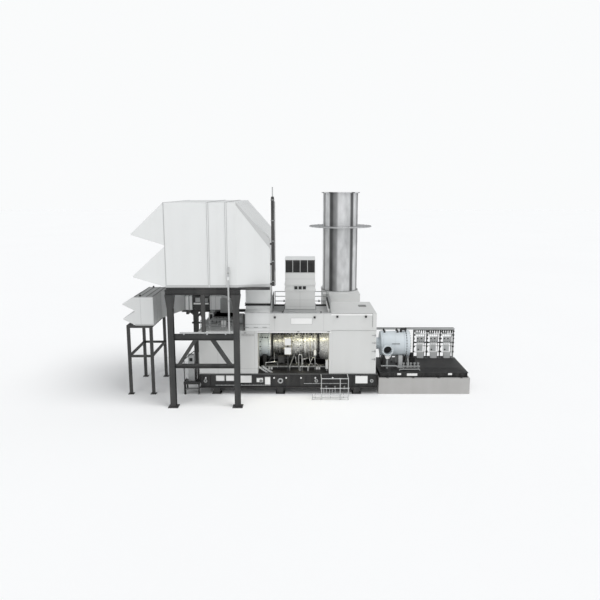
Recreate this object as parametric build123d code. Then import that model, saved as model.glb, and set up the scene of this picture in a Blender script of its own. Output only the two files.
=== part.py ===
"""Gas turbine package with its driven compressor, intake filter house, vent duct and stack.

Layout frame while drawing, in mm: X along the shaft towards the driven compressor,
Y away from the open side of the turbine bay, Z up from the ground.
The export shifts it so that the origin is the bottom centre of the whole package.
"""
import os
from math import cos, pi, radians, sin

from build123d import *

# Levels
skid_bottom = 480
deck_z = 1520
plinth_top = 1155
shaft_z = 3150

# Turbine skid and its feet
skid_x0 = -7050
skid_x1 = 5450
skid_flange = 70
skid_web_inset = 90
rib_thick = 40
rib_count = 12
foot_side = 440
foot_plate = 640
foot_plate_thick = 40
foot_x_left = -5900
foot_x_mid = -1400
foot_x_right = 4000
foot_inset = 420

# Concrete plinth and driven skid
plinth_x0 = 5550
plinth_x1 = 12000
plinth_half = 2200
plinth_chamfer = 40
driven_x0 = 5600
driven_x1 = 11900
driven_half = 2000
driven_flange = 45
driven_web_inset = 70

# Enclosure
box_half = 2250
skid_margin = 50
skid_half = box_half + skid_margin
inlet_x1 = -2950
inlet_top = 4600
bay_x1 = 2030
bay_head = 4460
wall = 100
exhaust_x0 = 2170
exhaust_x1 = 5310
exhaust_top = 5820
roof_deck = 5550
panel_recess = 15
panel_left = 140
panel_right = 300
frame_strip = 110
panel_split_z = 4630
split_rail = 60

# Intake duct
duct_x0 = -3800
duct_x1 = -2080
duct_half = 1550
plenum_top = 5900
neck_bottom = 6020
joint_z0 = 6280
joint_z1 = 6380
joint_lip = 40

# Filter house
house_z0 = 8030
house_z1 = 13440
house_half = 4650
house_x0 = -8650
house_seam = -5850
house_seam_b = -4700
seam_width = 90
seam_proud = 20
house_slope_x = -4050
house_x1 = -1950
house_low_z = 11100
house_end_half = 4050
hood_sheet = 60
hood_reach = 2100
upper_tip_z = 11480
upper_foot_z = 10750
lower_top_z = 10680
lower_tip_z = 8770
lower_foot_z = 8070
hood_tip_thick = 40

# Main steel frame
col_x_left = -8410
col_x_right = -4140
col_out = 50
col_y = house_half + col_out
col_side = 380
col_flange = 34
col_web = 30
base_side = 670
base_thick = 40
anchor_spacing = 500
anchor_hole_r = 18
top_beam_z0 = 7570
top_beam_z1 = 7870
mid_beam_z0 = 4560
mid_beam_z1 = 4950
low_beam_z0 = 2680
low_beam_z1 = 2920
beam_width = 280
beam_flange = 30
beam_web = 26
post_x = -6280
post_side = 240
brace_width = 280
brace_out = 1650
brace_in = 580
flare_reach = 110
flare_drop = 900
haunch_length = 860
haunch_drop = 330
haunch_thick = 60
rear_beam_z1 = 4760
cantilever = 1120
bracket_length = 700
bracket_drop = 420
base_beam_width = 300

# Mast and drain pipe
mast_side = 200
mast_y = -3950
mast_gap = 90
mast_bracket = 120
mast_bracket_z = 8100
bracket_step = 1310
mast_top = 13740
finial_r = 35
finial_length = 660
drain_r = 58
drain_x = -4590
drain_top = 9310
drain_low = 5090
drain_end_x = -7800
drain_gap = 7
drain_clip = 80
clip_in = 250

# Vent filter, its stand and its duct
vent_x0 = -11430
vent_x1 = -10120
vent_y0 = -2200
vent_y1 = 2100
vent_z0 = 4970
vent_z1 = 6980
vent_hood_reach = 820
vent_hood_tip_x = vent_x0 - vent_hood_reach
vent_hood_gap = 40
vent_drop = 480
vent_wrap = 2500
leg_plate_thick = 25
tie = 75
leg_out = 520
leg_in = 250
leg_side = 200
leg_beam_z0 = 4790
tie_z = 2750
fan_x0 = -8300
fan_x1 = -6950
vduct_x0 = -8900
vduct_y0 = 2650
vduct_y1 = 3750
vduct_z0 = 5120
vduct_z1 = 6180
elbow_x = -6300
elbow_r = 900
fan_flange = 60
bearer_width = 200
outlet_y0 = 1500
roof_chest_x0 = -6300
roof_chest_x1 = -4700
roof_chest_y0 = 200
roof_chest_y1 = 2240

# Roof outlet tower and guard rails
tower_x0 = -1050
tower_x1 = 1070
tower_y0 = -800
tower_y1 = 1400
tower_band_z0 = 7200
tower_band_z1 = 7610
tower_louvre_z0 = 8440
tower_top = 9390
tower_lip = 45
lip_height = 80
louvre_inset = 90
louvre_sill = 40
louvre_head = 30
mullion = 35
rail_height = 1100
rail_bar = 50
rail_pitch = 1000

# Exhaust chest and stack
chest_x0 = 1740
chest_x1 = 4580
chest_y1 = 6050
chest_top = 6420
chest_leg = 320
chest_leg_in = 900
chest_plate_thick = 30
stack_x = 3160
stack_y = 4600
stack_r = 1360
stack_wall = 80
stack_top = 14060
stack_rim_r = 1490
stack_rim = 70
ring_z0 = 11390
ring_z1 = 11470
ring_r = 2435
ring_flat_count = 64


def block(x0, x1, y0, y1, z0, z1):
    """Box between two corners."""
    size = Box(x1 - x0, y1 - y0, z1 - z0)
    return Pos((x0 + x1) / 2, (y0 + y1) / 2, (z0 + z1) / 2) * size


def outline(points, plane):
    """Face from a closed run of points on a plane."""
    return plane * make_face(Polyline(*points, close=True))


def prism_y(points, y0, y1):
    """Section drawn in X and Z, drawn out along Y."""
    return extrude(outline(points, Plane.XZ.offset(-y1)), amount=y1 - y0)


def prism_x(points, x0, x1):
    """Section drawn in Y and Z, drawn out along X."""
    return extrude(outline(points, Plane.YZ.offset(x0)), amount=x1 - x0)


def prism_z(points, z0, z1):
    """Section drawn in X and Y, drawn out along Z."""
    return extrude(outline(points, Plane.XY.offset(z0)), amount=z1 - z0)


def fused(shapes):
    """One solid from shapes that overlap or meet."""
    whole = shapes[0]
    for piece in shapes[1:]:
        whole = whole + piece
    return whole


def i_section(centre, width, low, high, flange, web):
    """Points of an I section that stands upright about a centre."""
    half = width / 2
    stem = web / 2
    right = [(centre + half, low), (centre + half, low + flange), (centre + stem, low + flange),
             (centre + stem, high - flange), (centre + half, high - flange), (centre + half, high)]
    left = [(2 * centre - p[0], p[1]) for p in reversed(right)]
    return right + left


def beam_x(x0, x1, y, z0, z1):
    """I beam along X."""
    return prism_x(i_section(y, beam_width, z0, z1, beam_flange, beam_web), x0, x1)


def beam_y(x, y0, y1, z0, z1):
    """I beam along Y."""
    return prism_y(i_section(x, beam_width, z0, z1, beam_flange, beam_web), y0, y1)


def bar_between(start, end, side):
    """Square bar between two points."""
    a = Vector(*start)
    b = Vector(*end)
    line = b - a
    return extrude(Plane(a, z_dir=line) * Rectangle(side, side), amount=line.length)


def turned(points, x_axis_z):
    """Casing turned about the shaft line from (x, radius) points."""
    path = [(p[0], x_axis_z + p[1]) for p in points]
    path = [(points[0][0], x_axis_z)] + path + [(points[-1][0], x_axis_z)]
    face = outline(path, Plane.XZ)
    return revolve(face, Axis((0, 0, x_axis_z), (1, 0, 0)), 360)


def flat_face(points):
    """Flat face through points."""
    return Face(Wire.make_polygon([Vector(*p) for p in points]))


def flatted(points, axis_z):
    """Casing about the shaft line from (x, radius) points, in narrow flats."""
    angles = [2 * pi * i / casing_flats for i in range(casing_flats)]
    rings = [[(x, r * cos(a), axis_z + r * sin(a)) for a in angles] for x, r in points]
    faces = [flat_face(rings[0]), flat_face(rings[-1])]
    for near, far in zip(rings, rings[1:]):
        for i in range(casing_flats):
            faces.append(flat_face([near[i - 1], near[i], far[i], far[i - 1]]))
    return Solid(Shell(faces))


def tube(start, end, radius):
    """Straight eight-sided tube between two points."""
    a = Vector(*start)
    line = Vector(*end) - a
    return extrude(Plane(a, z_dir=line) * RegularPolygon(radius, 8), amount=line.length)


nodes = {}

# Concrete plinth and the two skids
plinth = block(plinth_x0, plinth_x1, -plinth_half, plinth_half, 0, plinth_top)
nodes["concrete_plinth"] = chamfer(plinth.edges().filter_by(Axis.Z), plinth_chamfer)


def skid(x0, x1, half, z0, z1, flange, inset, ribs):
    """Deck with edge beams: flanges top and bottom, a set-back web and upright ribs."""
    core = block(x0 + inset, x1 - inset, -half + inset, half - inset, z0, z1)
    top = block(x0, x1, -half, half, z1 - flange, z1)
    low = block(x0, x1, -half, half, z0, z0 + flange)
    shapes = [core, top, low]
    step = (x1 - x0 - 2 * inset) / (ribs - 1)
    for i in range(ribs):
        x = x0 + inset + i * step
        shapes.append(block(x - rib_thick / 2, x + rib_thick / 2, -half + 15, half - 15, z0, z1))
    return fused(shapes)


nodes["turbine_skid"] = skid(
    skid_x0, skid_x1, skid_half, skid_bottom, deck_z, skid_flange, skid_web_inset, rib_count)
nodes["driven_skid"] = skid(
    driven_x0, driven_x1, driven_half, plinth_top, deck_z, driven_flange, driven_web_inset, 7)


def pier(x, y, side, plate, plate_thick, top):
    """Pedestal on a wider base plate."""
    foot = block(x - plate / 2, x + plate / 2, y - plate / 2, y + plate / 2, 0, plate_thick)
    post = block(x - side / 2, x + side / 2, y - side / 2, y + side / 2, plate_thick, top)
    return foot + post


foot_y = skid_half - foot_inset
feet = [pier(x, y, foot_side, foot_plate, foot_plate_thick, skid_bottom)
        for x in (foot_x_left, foot_x_mid, foot_x_right) for y in (-foot_y, foot_y)]

# Enclosure around the turbine
nodes["inlet_box"] = block(skid_x0, inlet_x1, -box_half, box_half, deck_z, inlet_top)
nodes["bay_rear_wall"] = block(inlet_x1, bay_x1, box_half - wall, box_half, deck_z, bay_head)
nodes["bay_bulkhead"] = block(bay_x1, exhaust_x0, -box_half, box_half, deck_z, bay_head)
head = [(inlet_x1, bay_head), (exhaust_x0, bay_head), (exhaust_x0, roof_deck),
        (duct_x1, roof_deck), (duct_x1, inlet_top), (inlet_x1, inlet_top)]
nodes["bay_roof"] = prism_y(head, -box_half + wall, box_half)
brow = [(inlet_x1, bay_head), (exhaust_x0, bay_head), (exhaust_x0, exhaust_top),
        (duct_x1, exhaust_top), (duct_x1, inlet_top), (inlet_x1, inlet_top)]
nodes["front_fascia"] = prism_y(brow, -box_half, -box_half + wall)

exhaust = block(exhaust_x0, exhaust_x1, -box_half, box_half, deck_z, exhaust_top)
panel_levels = ((deck_z + frame_strip, panel_split_z - split_rail / 2),
                (panel_split_z + split_rail / 2, exhaust_top - frame_strip))
for z0, z1 in panel_levels:
    exhaust = exhaust - block(exhaust_x0 + panel_left, exhaust_x1 - panel_right, -box_half,
                              -box_half + panel_recess, z0, z1)
nodes["exhaust_box"] = exhaust

# Intake duct from the filter house down to the enclosure
shoulder = [(-box_half, inlet_top), (box_half, inlet_top), (box_half, plenum_top),
            (duct_half, neck_bottom), (duct_half, joint_z0), (-duct_half, joint_z0),
            (-duct_half, neck_bottom), (-box_half, plenum_top)]
plenum = prism_x(shoulder, duct_x0, duct_x1)
nodes["expansion_joint"] = block(
    duct_x0 - joint_lip, duct_x1 + joint_lip, -duct_half - joint_lip, duct_half + joint_lip,
    joint_z0, joint_z1)
upper_duct = block(duct_x0, duct_x1, -duct_half, duct_half, joint_z1, house_z0)
nodes["intake_duct"] = Compound([plenum, upper_duct])

# Filter house: a straight body with proud section seams, and a tapering end
house = block(house_x0, house_slope_x, -house_half, house_half, house_z0, house_z1)
for x in (house_seam, house_seam_b):
    house = house + block(x - seam_width / 2, x + seam_width / 2, -house_half - seam_proud,
                          house_half + seam_proud, house_z0, house_z1 + seam_proud)
nodes["house_body"] = house

end_side = [(house_slope_x, house_z0), (house_x1, house_z0), (house_x1, house_low_z),
            (house_slope_x, house_z1)]
end_plan = [(house_slope_x, -house_half), (house_x1, -house_end_half), (house_x1, house_end_half),
            (house_slope_x, house_half)]
nodes["house_end"] = prism_y(end_side, -house_half, house_half) & prism_z(end_plan, house_z0, house_z1)

# Weather hoods: a sloping sheet over two cheeks, open below
hood_x = house_x0 - hood_reach


def hood_sheet_points(wall_z, tip_z):
    """Sloping sheet from the wall down to the drip edge."""
    return [(house_x0, wall_z), (hood_x, tip_z), (hood_x, tip_z - hood_tip_thick),
            (house_x0, wall_z - hood_sheet - hood_tip_thick)]


def hood_cheek_points(wall_z, tip_z, foot_z):
    """Cheek that fills the angle under the sheet."""
    return [(house_x0, wall_z - hood_sheet - hood_tip_thick), (hood_x, tip_z - hood_tip_thick),
            (hood_x, tip_z - 2 * hood_tip_thick), (house_x0, foot_z)]


sheets = [prism_y(hood_sheet_points(house_z1, upper_tip_z), -house_half, house_half),
          prism_y(hood_sheet_points(lower_top_z, lower_tip_z), -house_half, house_half)]
cheeks = []
for side in (-1, 1):
    y0 = side * house_half - (hood_sheet if side > 0 else 0)
    y1 = y0 + hood_sheet
    cheeks.append(prism_y(hood_cheek_points(house_z1, upper_tip_z, upper_foot_z), y0, y1))
    cheeks.append(prism_y(hood_cheek_points(lower_top_z, lower_tip_z, lower_foot_z), y0, y1))

# Steel frame under the filter house
half_side = col_side / 2


def column(x, y):
    """H column with its flanges to front and back."""
    points = i_section(x, col_side, y - half_side, y + half_side, col_flange, col_web)
    return prism_z(points, base_thick, top_beam_z0)


def base_plate(x, y):
    """Base plate with four anchor holes."""
    plate = block(x - base_side / 2, x + base_side / 2, y - base_side / 2, y + base_side / 2,
                  0, base_thick)
    for dx in (-anchor_spacing / 2, anchor_spacing / 2):
        for dy in (-anchor_spacing / 2, anchor_spacing / 2):
            hole = Cylinder(anchor_hole_r, 3 * base_thick)
            plate = plate - Pos(x + dx, y + dy, base_thick / 2) * hole
    return plate


corners = [(x, y) for x in (col_x_left, col_x_right) for y in (-col_y, col_y)]
nodes["frame_columns"] = Compound([column(x, y) for x, y in corners])
nodes["base_plates"] = Compound([base_plate(x, y) for x, y in corners])

top_x0 = col_x_left - half_side - flare_reach
top_x1 = col_x_right + half_side + flare_reach
nodes["top_beams_long"] = Compound([
    beam_x(top_x0, top_x1, y, top_beam_z0, top_beam_z1) for y in (-col_y, col_y)])
nodes["top_beams_cross"] = Compound([
    beam_y(x, -col_y + beam_width / 2, col_y - beam_width / 2, top_beam_z0, top_beam_z1)
    for x in (col_x_left, post_x, col_x_right)])
web_left = col_x_left + col_web / 2
web_right = col_x_right - col_web / 2
mid_tops = ((-col_y, mid_beam_z1), (col_y, rear_beam_z1))
frame_beams = [beam_x(web_left, web_right, y, low_beam_z0, low_beam_z1) for y in (-col_y, col_y)]
frame_beams += [beam_x(web_left, web_right, y, mid_beam_z0, top) for y, top in mid_tops]
cantilever_x = col_x_left - cantilever
frame_beams.append(beam_x(
    cantilever_x, col_x_left - col_web / 2, col_y, mid_beam_z0, rear_beam_z1))
nodes["frame_beams"] = Compound(frame_beams)
struts = [block(post_x - post_side / 2, post_x + post_side / 2, y - post_side / 2,
                y + post_side / 2, top, top_beam_z0) for y, top in mid_tops]


def brace(x_top, x_low, y):
    """Slanting brace between the low beam and the mid beam."""
    reach = brace_width / 2
    points = [(x_low - reach, low_beam_z1), (x_low + reach, low_beam_z1),
              (x_top + reach, mid_beam_z0), (x_top - reach, mid_beam_z0)]
    return prism_y(points, y - reach, y + reach)


struts += [brace(post_x + side * brace_in, post_x + side * brace_out, y)
           for side in (-1, 1) for y in (-col_y, col_y)]


def flare(x, y, side):
    """Wedge that widens a column under the top beam."""
    face_x = x + side * half_side
    points = [(face_x, top_beam_z0), (face_x + side * flare_reach, top_beam_z0),
              (face_x + side * flare_reach, top_beam_z0 - flare_reach), (face_x, top_beam_z0 - flare_drop)]
    return prism_y(points, y - half_side, y + half_side)


def haunch(face_x, y, side, top, length, drop):
    """Curved gusset in the angle of a column and the beam over it."""
    arc = [(face_x + side * length * (1 - cos(radians(a))), top - drop + drop * sin(radians(a)))
           for a in range(0, 91, 15)]
    points = [(face_x, top)] + arc
    return prism_y(points, y - haunch_thick / 2, y + haunch_thick / 2)


struts += [flare(x, y, side) for x, y in corners for side in (-1, 1)]
struts += [haunch(col_x_right - half_side - flare_reach, y, -1, top_beam_z0, haunch_length, haunch_drop)
           for y in (-col_y, col_y)]
struts.append(haunch(col_x_left - half_side, col_y, -1, mid_beam_z0, bracket_length, bracket_drop))
nodes["frame_struts"] = Compound(struts)

base_y = house_half - base_beam_width / 2
nodes["house_base_beams"] = Compound([
    block(house_x0, house_x1, side * base_y - base_beam_width / 2,
          side * base_y + base_beam_width / 2, top_beam_z1, house_z0) for side in (-1, 1)])

# Mast beside the house and the drain pipe down its front
mast_x0 = house_x1 + mast_gap
finial_top = mast_top + finial_length
mast = block(mast_x0, mast_x0 + mast_side, mast_y - mast_side / 2, mast_y + mast_side / 2,
             house_z0, mast_top)
mast_x = mast_x0 + mast_side / 2
finial = tube((mast_x, mast_y, mast_top), (mast_x, mast_y, finial_top), finial_r)
half_bracket = mast_bracket / 2
brackets = []
for i in range(3):
    z = mast_bracket_z + i * bracket_step
    brackets.append(block(house_x1, mast_x0, mast_y - half_bracket, mast_y + half_bracket,
                          z, z + mast_bracket))
nodes["mast"] = fused([mast, finial] + brackets)

drain_y = -col_y - beam_width / 2 - drain_r - drain_gap
drain = [tube((drain_x, -house_half, drain_top), (drain_x, drain_y - drain_r, drain_top), drain_r),
         tube((drain_x, drain_y, drain_top + drain_r), (drain_x, drain_y, drain_low - drain_r), drain_r),
         tube((drain_x + drain_r, drain_y, drain_low), (drain_end_x, drain_y, drain_low), drain_r)]
half_clip = drain_clip / 2
clips = [block(x - half_clip, x + half_clip, drain_y, -col_y - drain_r, mid_beam_z1, drain_low)
         for x in (drain_end_x + clip_in, post_x + post_side, drain_x - clip_in)]
nodes["drain_pipe"] = fused(drain + clips)

# Vent filter on its stand
nodes["vent_house"] = block(vent_x0, vent_x1, vent_y0, vent_y1, vent_z0, vent_z1)
vent_mid_z = (vent_z0 + vent_z1) / 2


def small_hood(top, foot):
    """Sheet and cheek sections of a small weather hood on the vent filter."""
    tip = top - vent_drop
    thick = hood_sheet / 2
    sheet = [(vent_x0, top), (vent_hood_tip_x, tip), (vent_hood_tip_x, tip - thick),
             (vent_x0, top - 2 * thick)]
    cheek = [(vent_x0, top - 2 * thick), (vent_hood_tip_x, tip - thick),
             (vent_hood_tip_x, tip - 2 * thick), (vent_x0, foot)]
    return sheet, cheek


small_hoods = [small_hood(vent_z1, vent_mid_z + vent_hood_gap),
               small_hood(vent_mid_z - vent_hood_gap, vent_z0 + vent_hood_gap)]
sheets += [prism_y(sheet, vent_y0, vent_y1) for sheet, cheek in small_hoods]
cheeks += [prism_y(cheek, y, y + hood_sheet)
           for sheet, cheek in small_hoods for y in (vent_y0, vent_y1 - hood_sheet)]
nodes["hood_sheets"] = Compound(sheets)
nodes["hood_cheeks"] = Compound(cheeks)

half_leg = leg_side / 2
leg_ys = (vent_y0 + half_leg, vent_y1 - half_leg)
leg_x_left = vent_x0 - leg_out
leg_x_right = vent_x1 - leg_in
leg_xs = (leg_x_left, leg_x_right)
nodes["vent_legs"] = Compound([
    pier(x, y, leg_side, 2 * leg_side, leg_plate_thick, leg_beam_z0) for x in leg_xs for y in leg_ys])
nodes["vent_bearers"] = Compound([
    block(leg_x_left - half_leg, leg_x_right + half_leg, y - half_leg, y + half_leg,
          leg_beam_z0, vent_z0) for y in leg_ys])
ties = [block(leg_x_left + half_leg, leg_x_right - half_leg, y - tie, y + tie, tie_z - tie, tie_z + tie)
        for y in leg_ys]
ties += [block(x - tie, x + tie, leg_ys[0] + half_leg, leg_ys[1] - half_leg, tie_z - tie, tie_z + tie)
         for x in leg_xs]
ties += [block(x - half_leg, x + half_leg, leg_ys[0] + half_leg, leg_ys[1] - half_leg,
               leg_beam_z0, vent_z0) for x in leg_xs]
nodes["vent_ties"] = Compound(ties)

# Vent duct from the filter to the enclosure roof
taper_side = [(vent_x1, vent_z0), (vduct_x0, vduct_z0), (vduct_x0, vduct_z1), (vent_x1, vent_z1)]
taper_plan = [(vent_x1, vent_y0 + vent_wrap), (vduct_x0, vduct_y0), (vduct_x0, vduct_y1),
              (vent_x1, vent_y1)]
transition = prism_y(taper_side, vent_y0, vduct_y1) & prism_z(taper_plan, vent_z0, vent_z1)
nodes["vent_transition"] = transition + block(
    vduct_x0, fan_x0, vduct_y0, vduct_y1, vduct_z0, vduct_z1)
fan = block(fan_x0, fan_x1, vduct_y0, vduct_y1, vduct_z0, vduct_z1)
for x in (fan_x0, fan_x1 - fan_flange):
    fan = fan + block(x, x + fan_flange, vduct_y0 - fan_flange, vduct_y1 + fan_flange,
                      vduct_z0 - fan_flange, vduct_z1 + fan_flange)
nodes["vent_fan"] = fan
vduct_y = (vduct_y0 + vduct_y1) / 2
vduct_half = (vduct_y1 - vduct_y0) / 2
elbow_y = vduct_y - elbow_r
outer = [(elbow_x + (elbow_r + vduct_half) * sin(radians(a)),
          elbow_y + (elbow_r + vduct_half) * cos(radians(a))) for a in range(0, 91, 15)]
inner = [(elbow_x + (elbow_r - vduct_half) * sin(radians(a)),
          elbow_y + (elbow_r - vduct_half) * cos(radians(a))) for a in range(90, -1, -15)]
elbow = prism_z(
    [(fan_x1, vduct_y1)] + outer + inner + [(fan_x1, vduct_y0)], vduct_z0, vduct_z1)
nodes["vent_elbow"] = elbow + block(
    elbow_x + elbow_r - vduct_half, elbow_x + elbow_r + vduct_half, outlet_y0, elbow_y,
    vduct_z0, vduct_z1)
nodes["roof_chest"] = block(roof_chest_x0, roof_chest_x1, roof_chest_y0, roof_chest_y1,
                            inlet_top, vduct_z0)
nodes["duct_bearers"] = Compound([
    block(x - bearer_width / 2, x + bearer_width / 2, vduct_y0, col_y + beam_width / 2,
          rear_beam_z1, vduct_z0)
    for x in (vduct_x0 + bearer_width, (fan_x0 + fan_x1) / 2, fan_x1 + 2 * bearer_width)])

# Roof outlet tower
tower = block(tower_x0, tower_x1, tower_y0, tower_y1, roof_deck, tower_louvre_z0)
for z in (tower_band_z0, tower_band_z1):
    tower = tower + block(tower_x0 - tower_lip, tower_x1 + tower_lip, tower_y0 - tower_lip,
                          tower_y1 + tower_lip, z - lip_height / 2, z + lip_height / 2)
fit_gap = 0.3
louvre_z1 = tower_top - louvre_head
head_block = block(tower_x0, tower_x1, tower_y0, tower_y1, tower_louvre_z0, tower_top)
bay_w = (tower_x1 - tower_x0 - 5 * mullion) / 4
bay_d = (tower_y1 - tower_y0 - 5 * mullion) / 4
louvres = []
for i in range(4):
    x = tower_x0 + mullion + i * (bay_w + mullion)
    y = tower_y0 + mullion + i * (bay_d + mullion)
    z0 = tower_louvre_z0 + louvre_sill
    slots = [(x, x + bay_w, tower_y0, tower_y0 + louvre_inset, 1),
             (x, x + bay_w, tower_y1 - louvre_inset, tower_y1, -1)]
    for x0, x1, y0, y1, side in slots:
        head_block = head_block - block(x0, x1, y0, y1, z0, louvre_z1)
        set_back = louvre_inset / 2 - fit_gap
        front = y0 + set_back if side > 0 else y0 + fit_gap
        louvres.append(block(x0 + fit_gap, x1 - fit_gap, front, front + louvre_inset / 2,
                             z0 + fit_gap, louvre_z1 - fit_gap))
nodes["vent_tower"] = tower + head_block
nodes["tower_louvres"] = Compound(louvres)


def rail_panel(start, end, foot_z):
    """Guard rail with posts, a top rail and two lower rails."""
    a = Vector(*start)
    b = Vector(*end)
    along_x = abs(b.X - a.X) > abs(b.Y - a.Y)
    length = (b - a).length
    half = rail_bar / 2
    bays = max(1, round(length / rail_pitch))
    bars = []
    for i in range(bays + 1):
        p = a + (b - a) * (i / bays)
        bars.append(block(p.X - half, p.X + half, p.Y - half, p.Y + half,
                          foot_z, foot_z + rail_height))
    for k in (1, 2, 3):
        z = foot_z + rail_height * k / 3 - half
        if along_x:
            bars.append(block(a.X, b.X, a.Y - half, a.Y + half, z - half, z + half))
        else:
            bars.append(block(a.X - half, a.X + half, a.Y, b.Y, z - half, z + half))
    return fused(bars)


rail_left = duct_x1 + 100
rail_right = exhaust_x0 - 60
rail_y = box_half - 60
nodes["roof_rails"] = Compound([
    rail_panel((rail_left + 90, rail_y), (rail_right - 90, rail_y), roof_deck),
    rail_panel((rail_left, -rail_y + 150), (rail_left, rail_y), roof_deck),
    rail_panel((rail_right, -rail_y + 150), (rail_right, rail_y), roof_deck)])

# Exhaust chest behind the package, with the stack on it
nodes["exhaust_chest"] = block(chest_x0, chest_x1, box_half, chest_y1, deck_z, chest_top)
half_chest = chest_leg / 2
feet += [pier(x, y, chest_leg, 1.6 * chest_leg, chest_plate_thick, deck_z)
         for x in (chest_x0 + half_chest, chest_x1 - half_chest)
         for y in (box_half + chest_leg_in, chest_y1 - half_chest)]
nodes["machine_feet"] = Compound(feet)
flue_plan = RegularPolygon(stack_r - stack_wall, ring_flat_count)
shell_plan = RegularPolygon(stack_r, ring_flat_count) - flue_plan
rim_plan = RegularPolygon(stack_rim_r, ring_flat_count) - flue_plan
shell = extrude(Plane.XY.offset(chest_top) * shell_plan, amount=stack_top - stack_rim - chest_top)
rim = extrude(Plane.XY.offset(stack_top - stack_rim) * rim_plan, amount=stack_rim)
nodes["stack_shell"] = Pos(stack_x, stack_y, 0) * (shell + rim)
ring_hole = RegularPolygon(stack_r + fit_gap, ring_flat_count)
ring_plan = RegularPolygon(ring_r, ring_flat_count) - ring_hole
ring = extrude(Plane.XY.offset(ring_z0) * ring_plan, amount=ring_z1 - ring_z0)
nodes["stack_ring"] = Pos(stack_x, stack_y, 0) * ring

# Engine in the open bay: casings about one shaft line
intake_r = 900
compressor_r = 620
combustor_r = 980
turbine_r = 1000
cone_r = 1300
flange_thick = 80
flange_proud = 80
band_proud = 110
casing_flats = 40
intake_length = 780
compressor_length = 1350
combustor_length = 1200
turbine_length = 700
engine_x0 = inlet_x1
split_a = engine_x0 + intake_length
split_b = split_a + compressor_length
split_c = split_b + combustor_length
split_d = split_c + turbine_length
band_x = (split_a + split_b) / 2
neck_r = combustor_r - 1.5 * flange_proud
nodes["intake_casing"] = flatted([
    (engine_x0, intake_r + flange_proud), (engine_x0 + 2 * flange_thick, intake_r + flange_proud),
    (engine_x0 + 2 * flange_thick, intake_r), (split_a - flange_thick, intake_r),
    (split_a - flange_thick, intake_r + flange_proud), (split_a, intake_r + flange_proud)], shaft_z)
nodes["compressor_casing"] = flatted([
    (split_a, intake_r + flange_proud), (split_a + flange_thick, intake_r + flange_proud),
    (split_a + flange_thick, compressor_r + flange_proud / 2), (band_x, compressor_r),
    (band_x, compressor_r + band_proud), (band_x + flange_thick, compressor_r + band_proud),
    (band_x + flange_thick, compressor_r), (split_b - flange_thick, compressor_r + flange_proud / 2),
    (split_b - flange_thick, neck_r), (split_b, neck_r)], shaft_z)
nodes["combustor_casing"] = flatted([
    (split_b, neck_r), (split_b + flange_thick, neck_r),
    (split_b + 3 * flange_thick, combustor_r), (split_c - flange_thick, combustor_r),
    (split_c - flange_thick, combustor_r + flange_proud), (split_c, combustor_r + flange_proud)], shaft_z)
nodes["turbine_casing"] = flatted([
    (split_c, combustor_r + flange_proud), (split_c + flange_thick, combustor_r + flange_proud),
    (split_c + flange_thick, turbine_r - flange_proud / 2), (split_d - flange_thick, turbine_r),
    (split_d - flange_thick, turbine_r + flange_proud), (split_d, turbine_r + flange_proud)], shaft_z)
nodes["exhaust_cone"] = flatted([
    (split_d, turbine_r + flange_proud), (split_d + flange_thick, turbine_r + flange_proud),
    (split_d + flange_thick, turbine_r), (bay_x1, cone_r)], shaft_z)

# Cradle under the engine
cradle_height = 140
cradle_top = deck_z + cradle_height
cradle_half = 1100
cradle_in = 140
seat_clear = 0.5
nodes["engine_cradle"] = block(
    inlet_x1 + cradle_in, bay_x1 - cradle_in, -cradle_half, cradle_half, deck_z, cradle_top)


def saddle(x0, x1, half, z0, z1, radius):
    """Block under a round casing, hollowed to its curve."""
    body = block(x0, x1, -half, half, z0, z1)
    bore = Pos((x0 + x1) / 2, 0, shaft_z) * Rot(0, 90, 0) * Cylinder(radius, 3 * (x1 - x0))
    return body - bore


engine_saddle = 250
saddle_half = 700
saddle_drop = 700
saddle_top = shaft_z - saddle_drop
intake_saddle_x = (engine_x0 + split_a - engine_saddle) / 2
combustor_saddle_x = (split_b + split_c - engine_saddle) / 2
saddles = [saddle(x, x + engine_saddle, saddle_half, cradle_top, saddle_top, radius + seat_clear)
           for x, radius in ((intake_saddle_x, intake_r), (combustor_saddle_x, combustor_r))]

jbox_x0 = -1090
jbox_w = 480
jbox_depth = 160
jbox_y = -1850
jbox_height = 500
jbox_low_z = 2840
jbox_step = 660
jbox_post = 80
jbox_mid = jbox_x0 + jbox_w / 2
jbox_post_top = jbox_low_z + jbox_step + jbox_height
nodes["junction_boxes"] = fused(
    [block(jbox_mid - jbox_post / 2, jbox_mid + jbox_post / 2, jbox_y, jbox_y + jbox_post,
           deck_z, jbox_post_top)]
    + [block(jbox_x0, jbox_x0 + jbox_w, jbox_y - jbox_depth, jbox_y, z, z + jbox_height)
       for z in (jbox_low_z, jbox_low_z + jbox_step)])

# Driven compressor on its own skid
barrel_r = 890
barrel_x0 = 5850
barrel_x1 = 7730
cover_r = 960
cover_thick = 230
hub_r = 560
hub_length = 110
cover_x1 = barrel_x1 + cover_thick
nodes["compressor_barrel"] = turned([
    (barrel_x0, barrel_r), (barrel_x1, barrel_r), (barrel_x1, cover_r), (cover_x1, cover_r),
    (cover_x1, hub_r), (cover_x1 + hub_length, hub_r)], shaft_z)
guard_r = 420
nodes["coupling_guard"] = flatted([(exhaust_x1, guard_r), (barrel_x0, guard_r)], shaft_z)
barrel_saddle = 200
barrel_saddle_half = 650
barrel_saddle_drop = 750
barrel_saddle_top = shaft_z - barrel_saddle_drop
saddle_in = 180
saddles += [saddle(x, x + barrel_saddle, barrel_saddle_half, deck_z, barrel_saddle_top,
                   barrel_r + seat_clear)
            for x in (barrel_x0 + saddle_in, barrel_x1 - saddle_in - barrel_saddle)]
nodes["machine_saddles"] = Compound(saddles)

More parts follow.
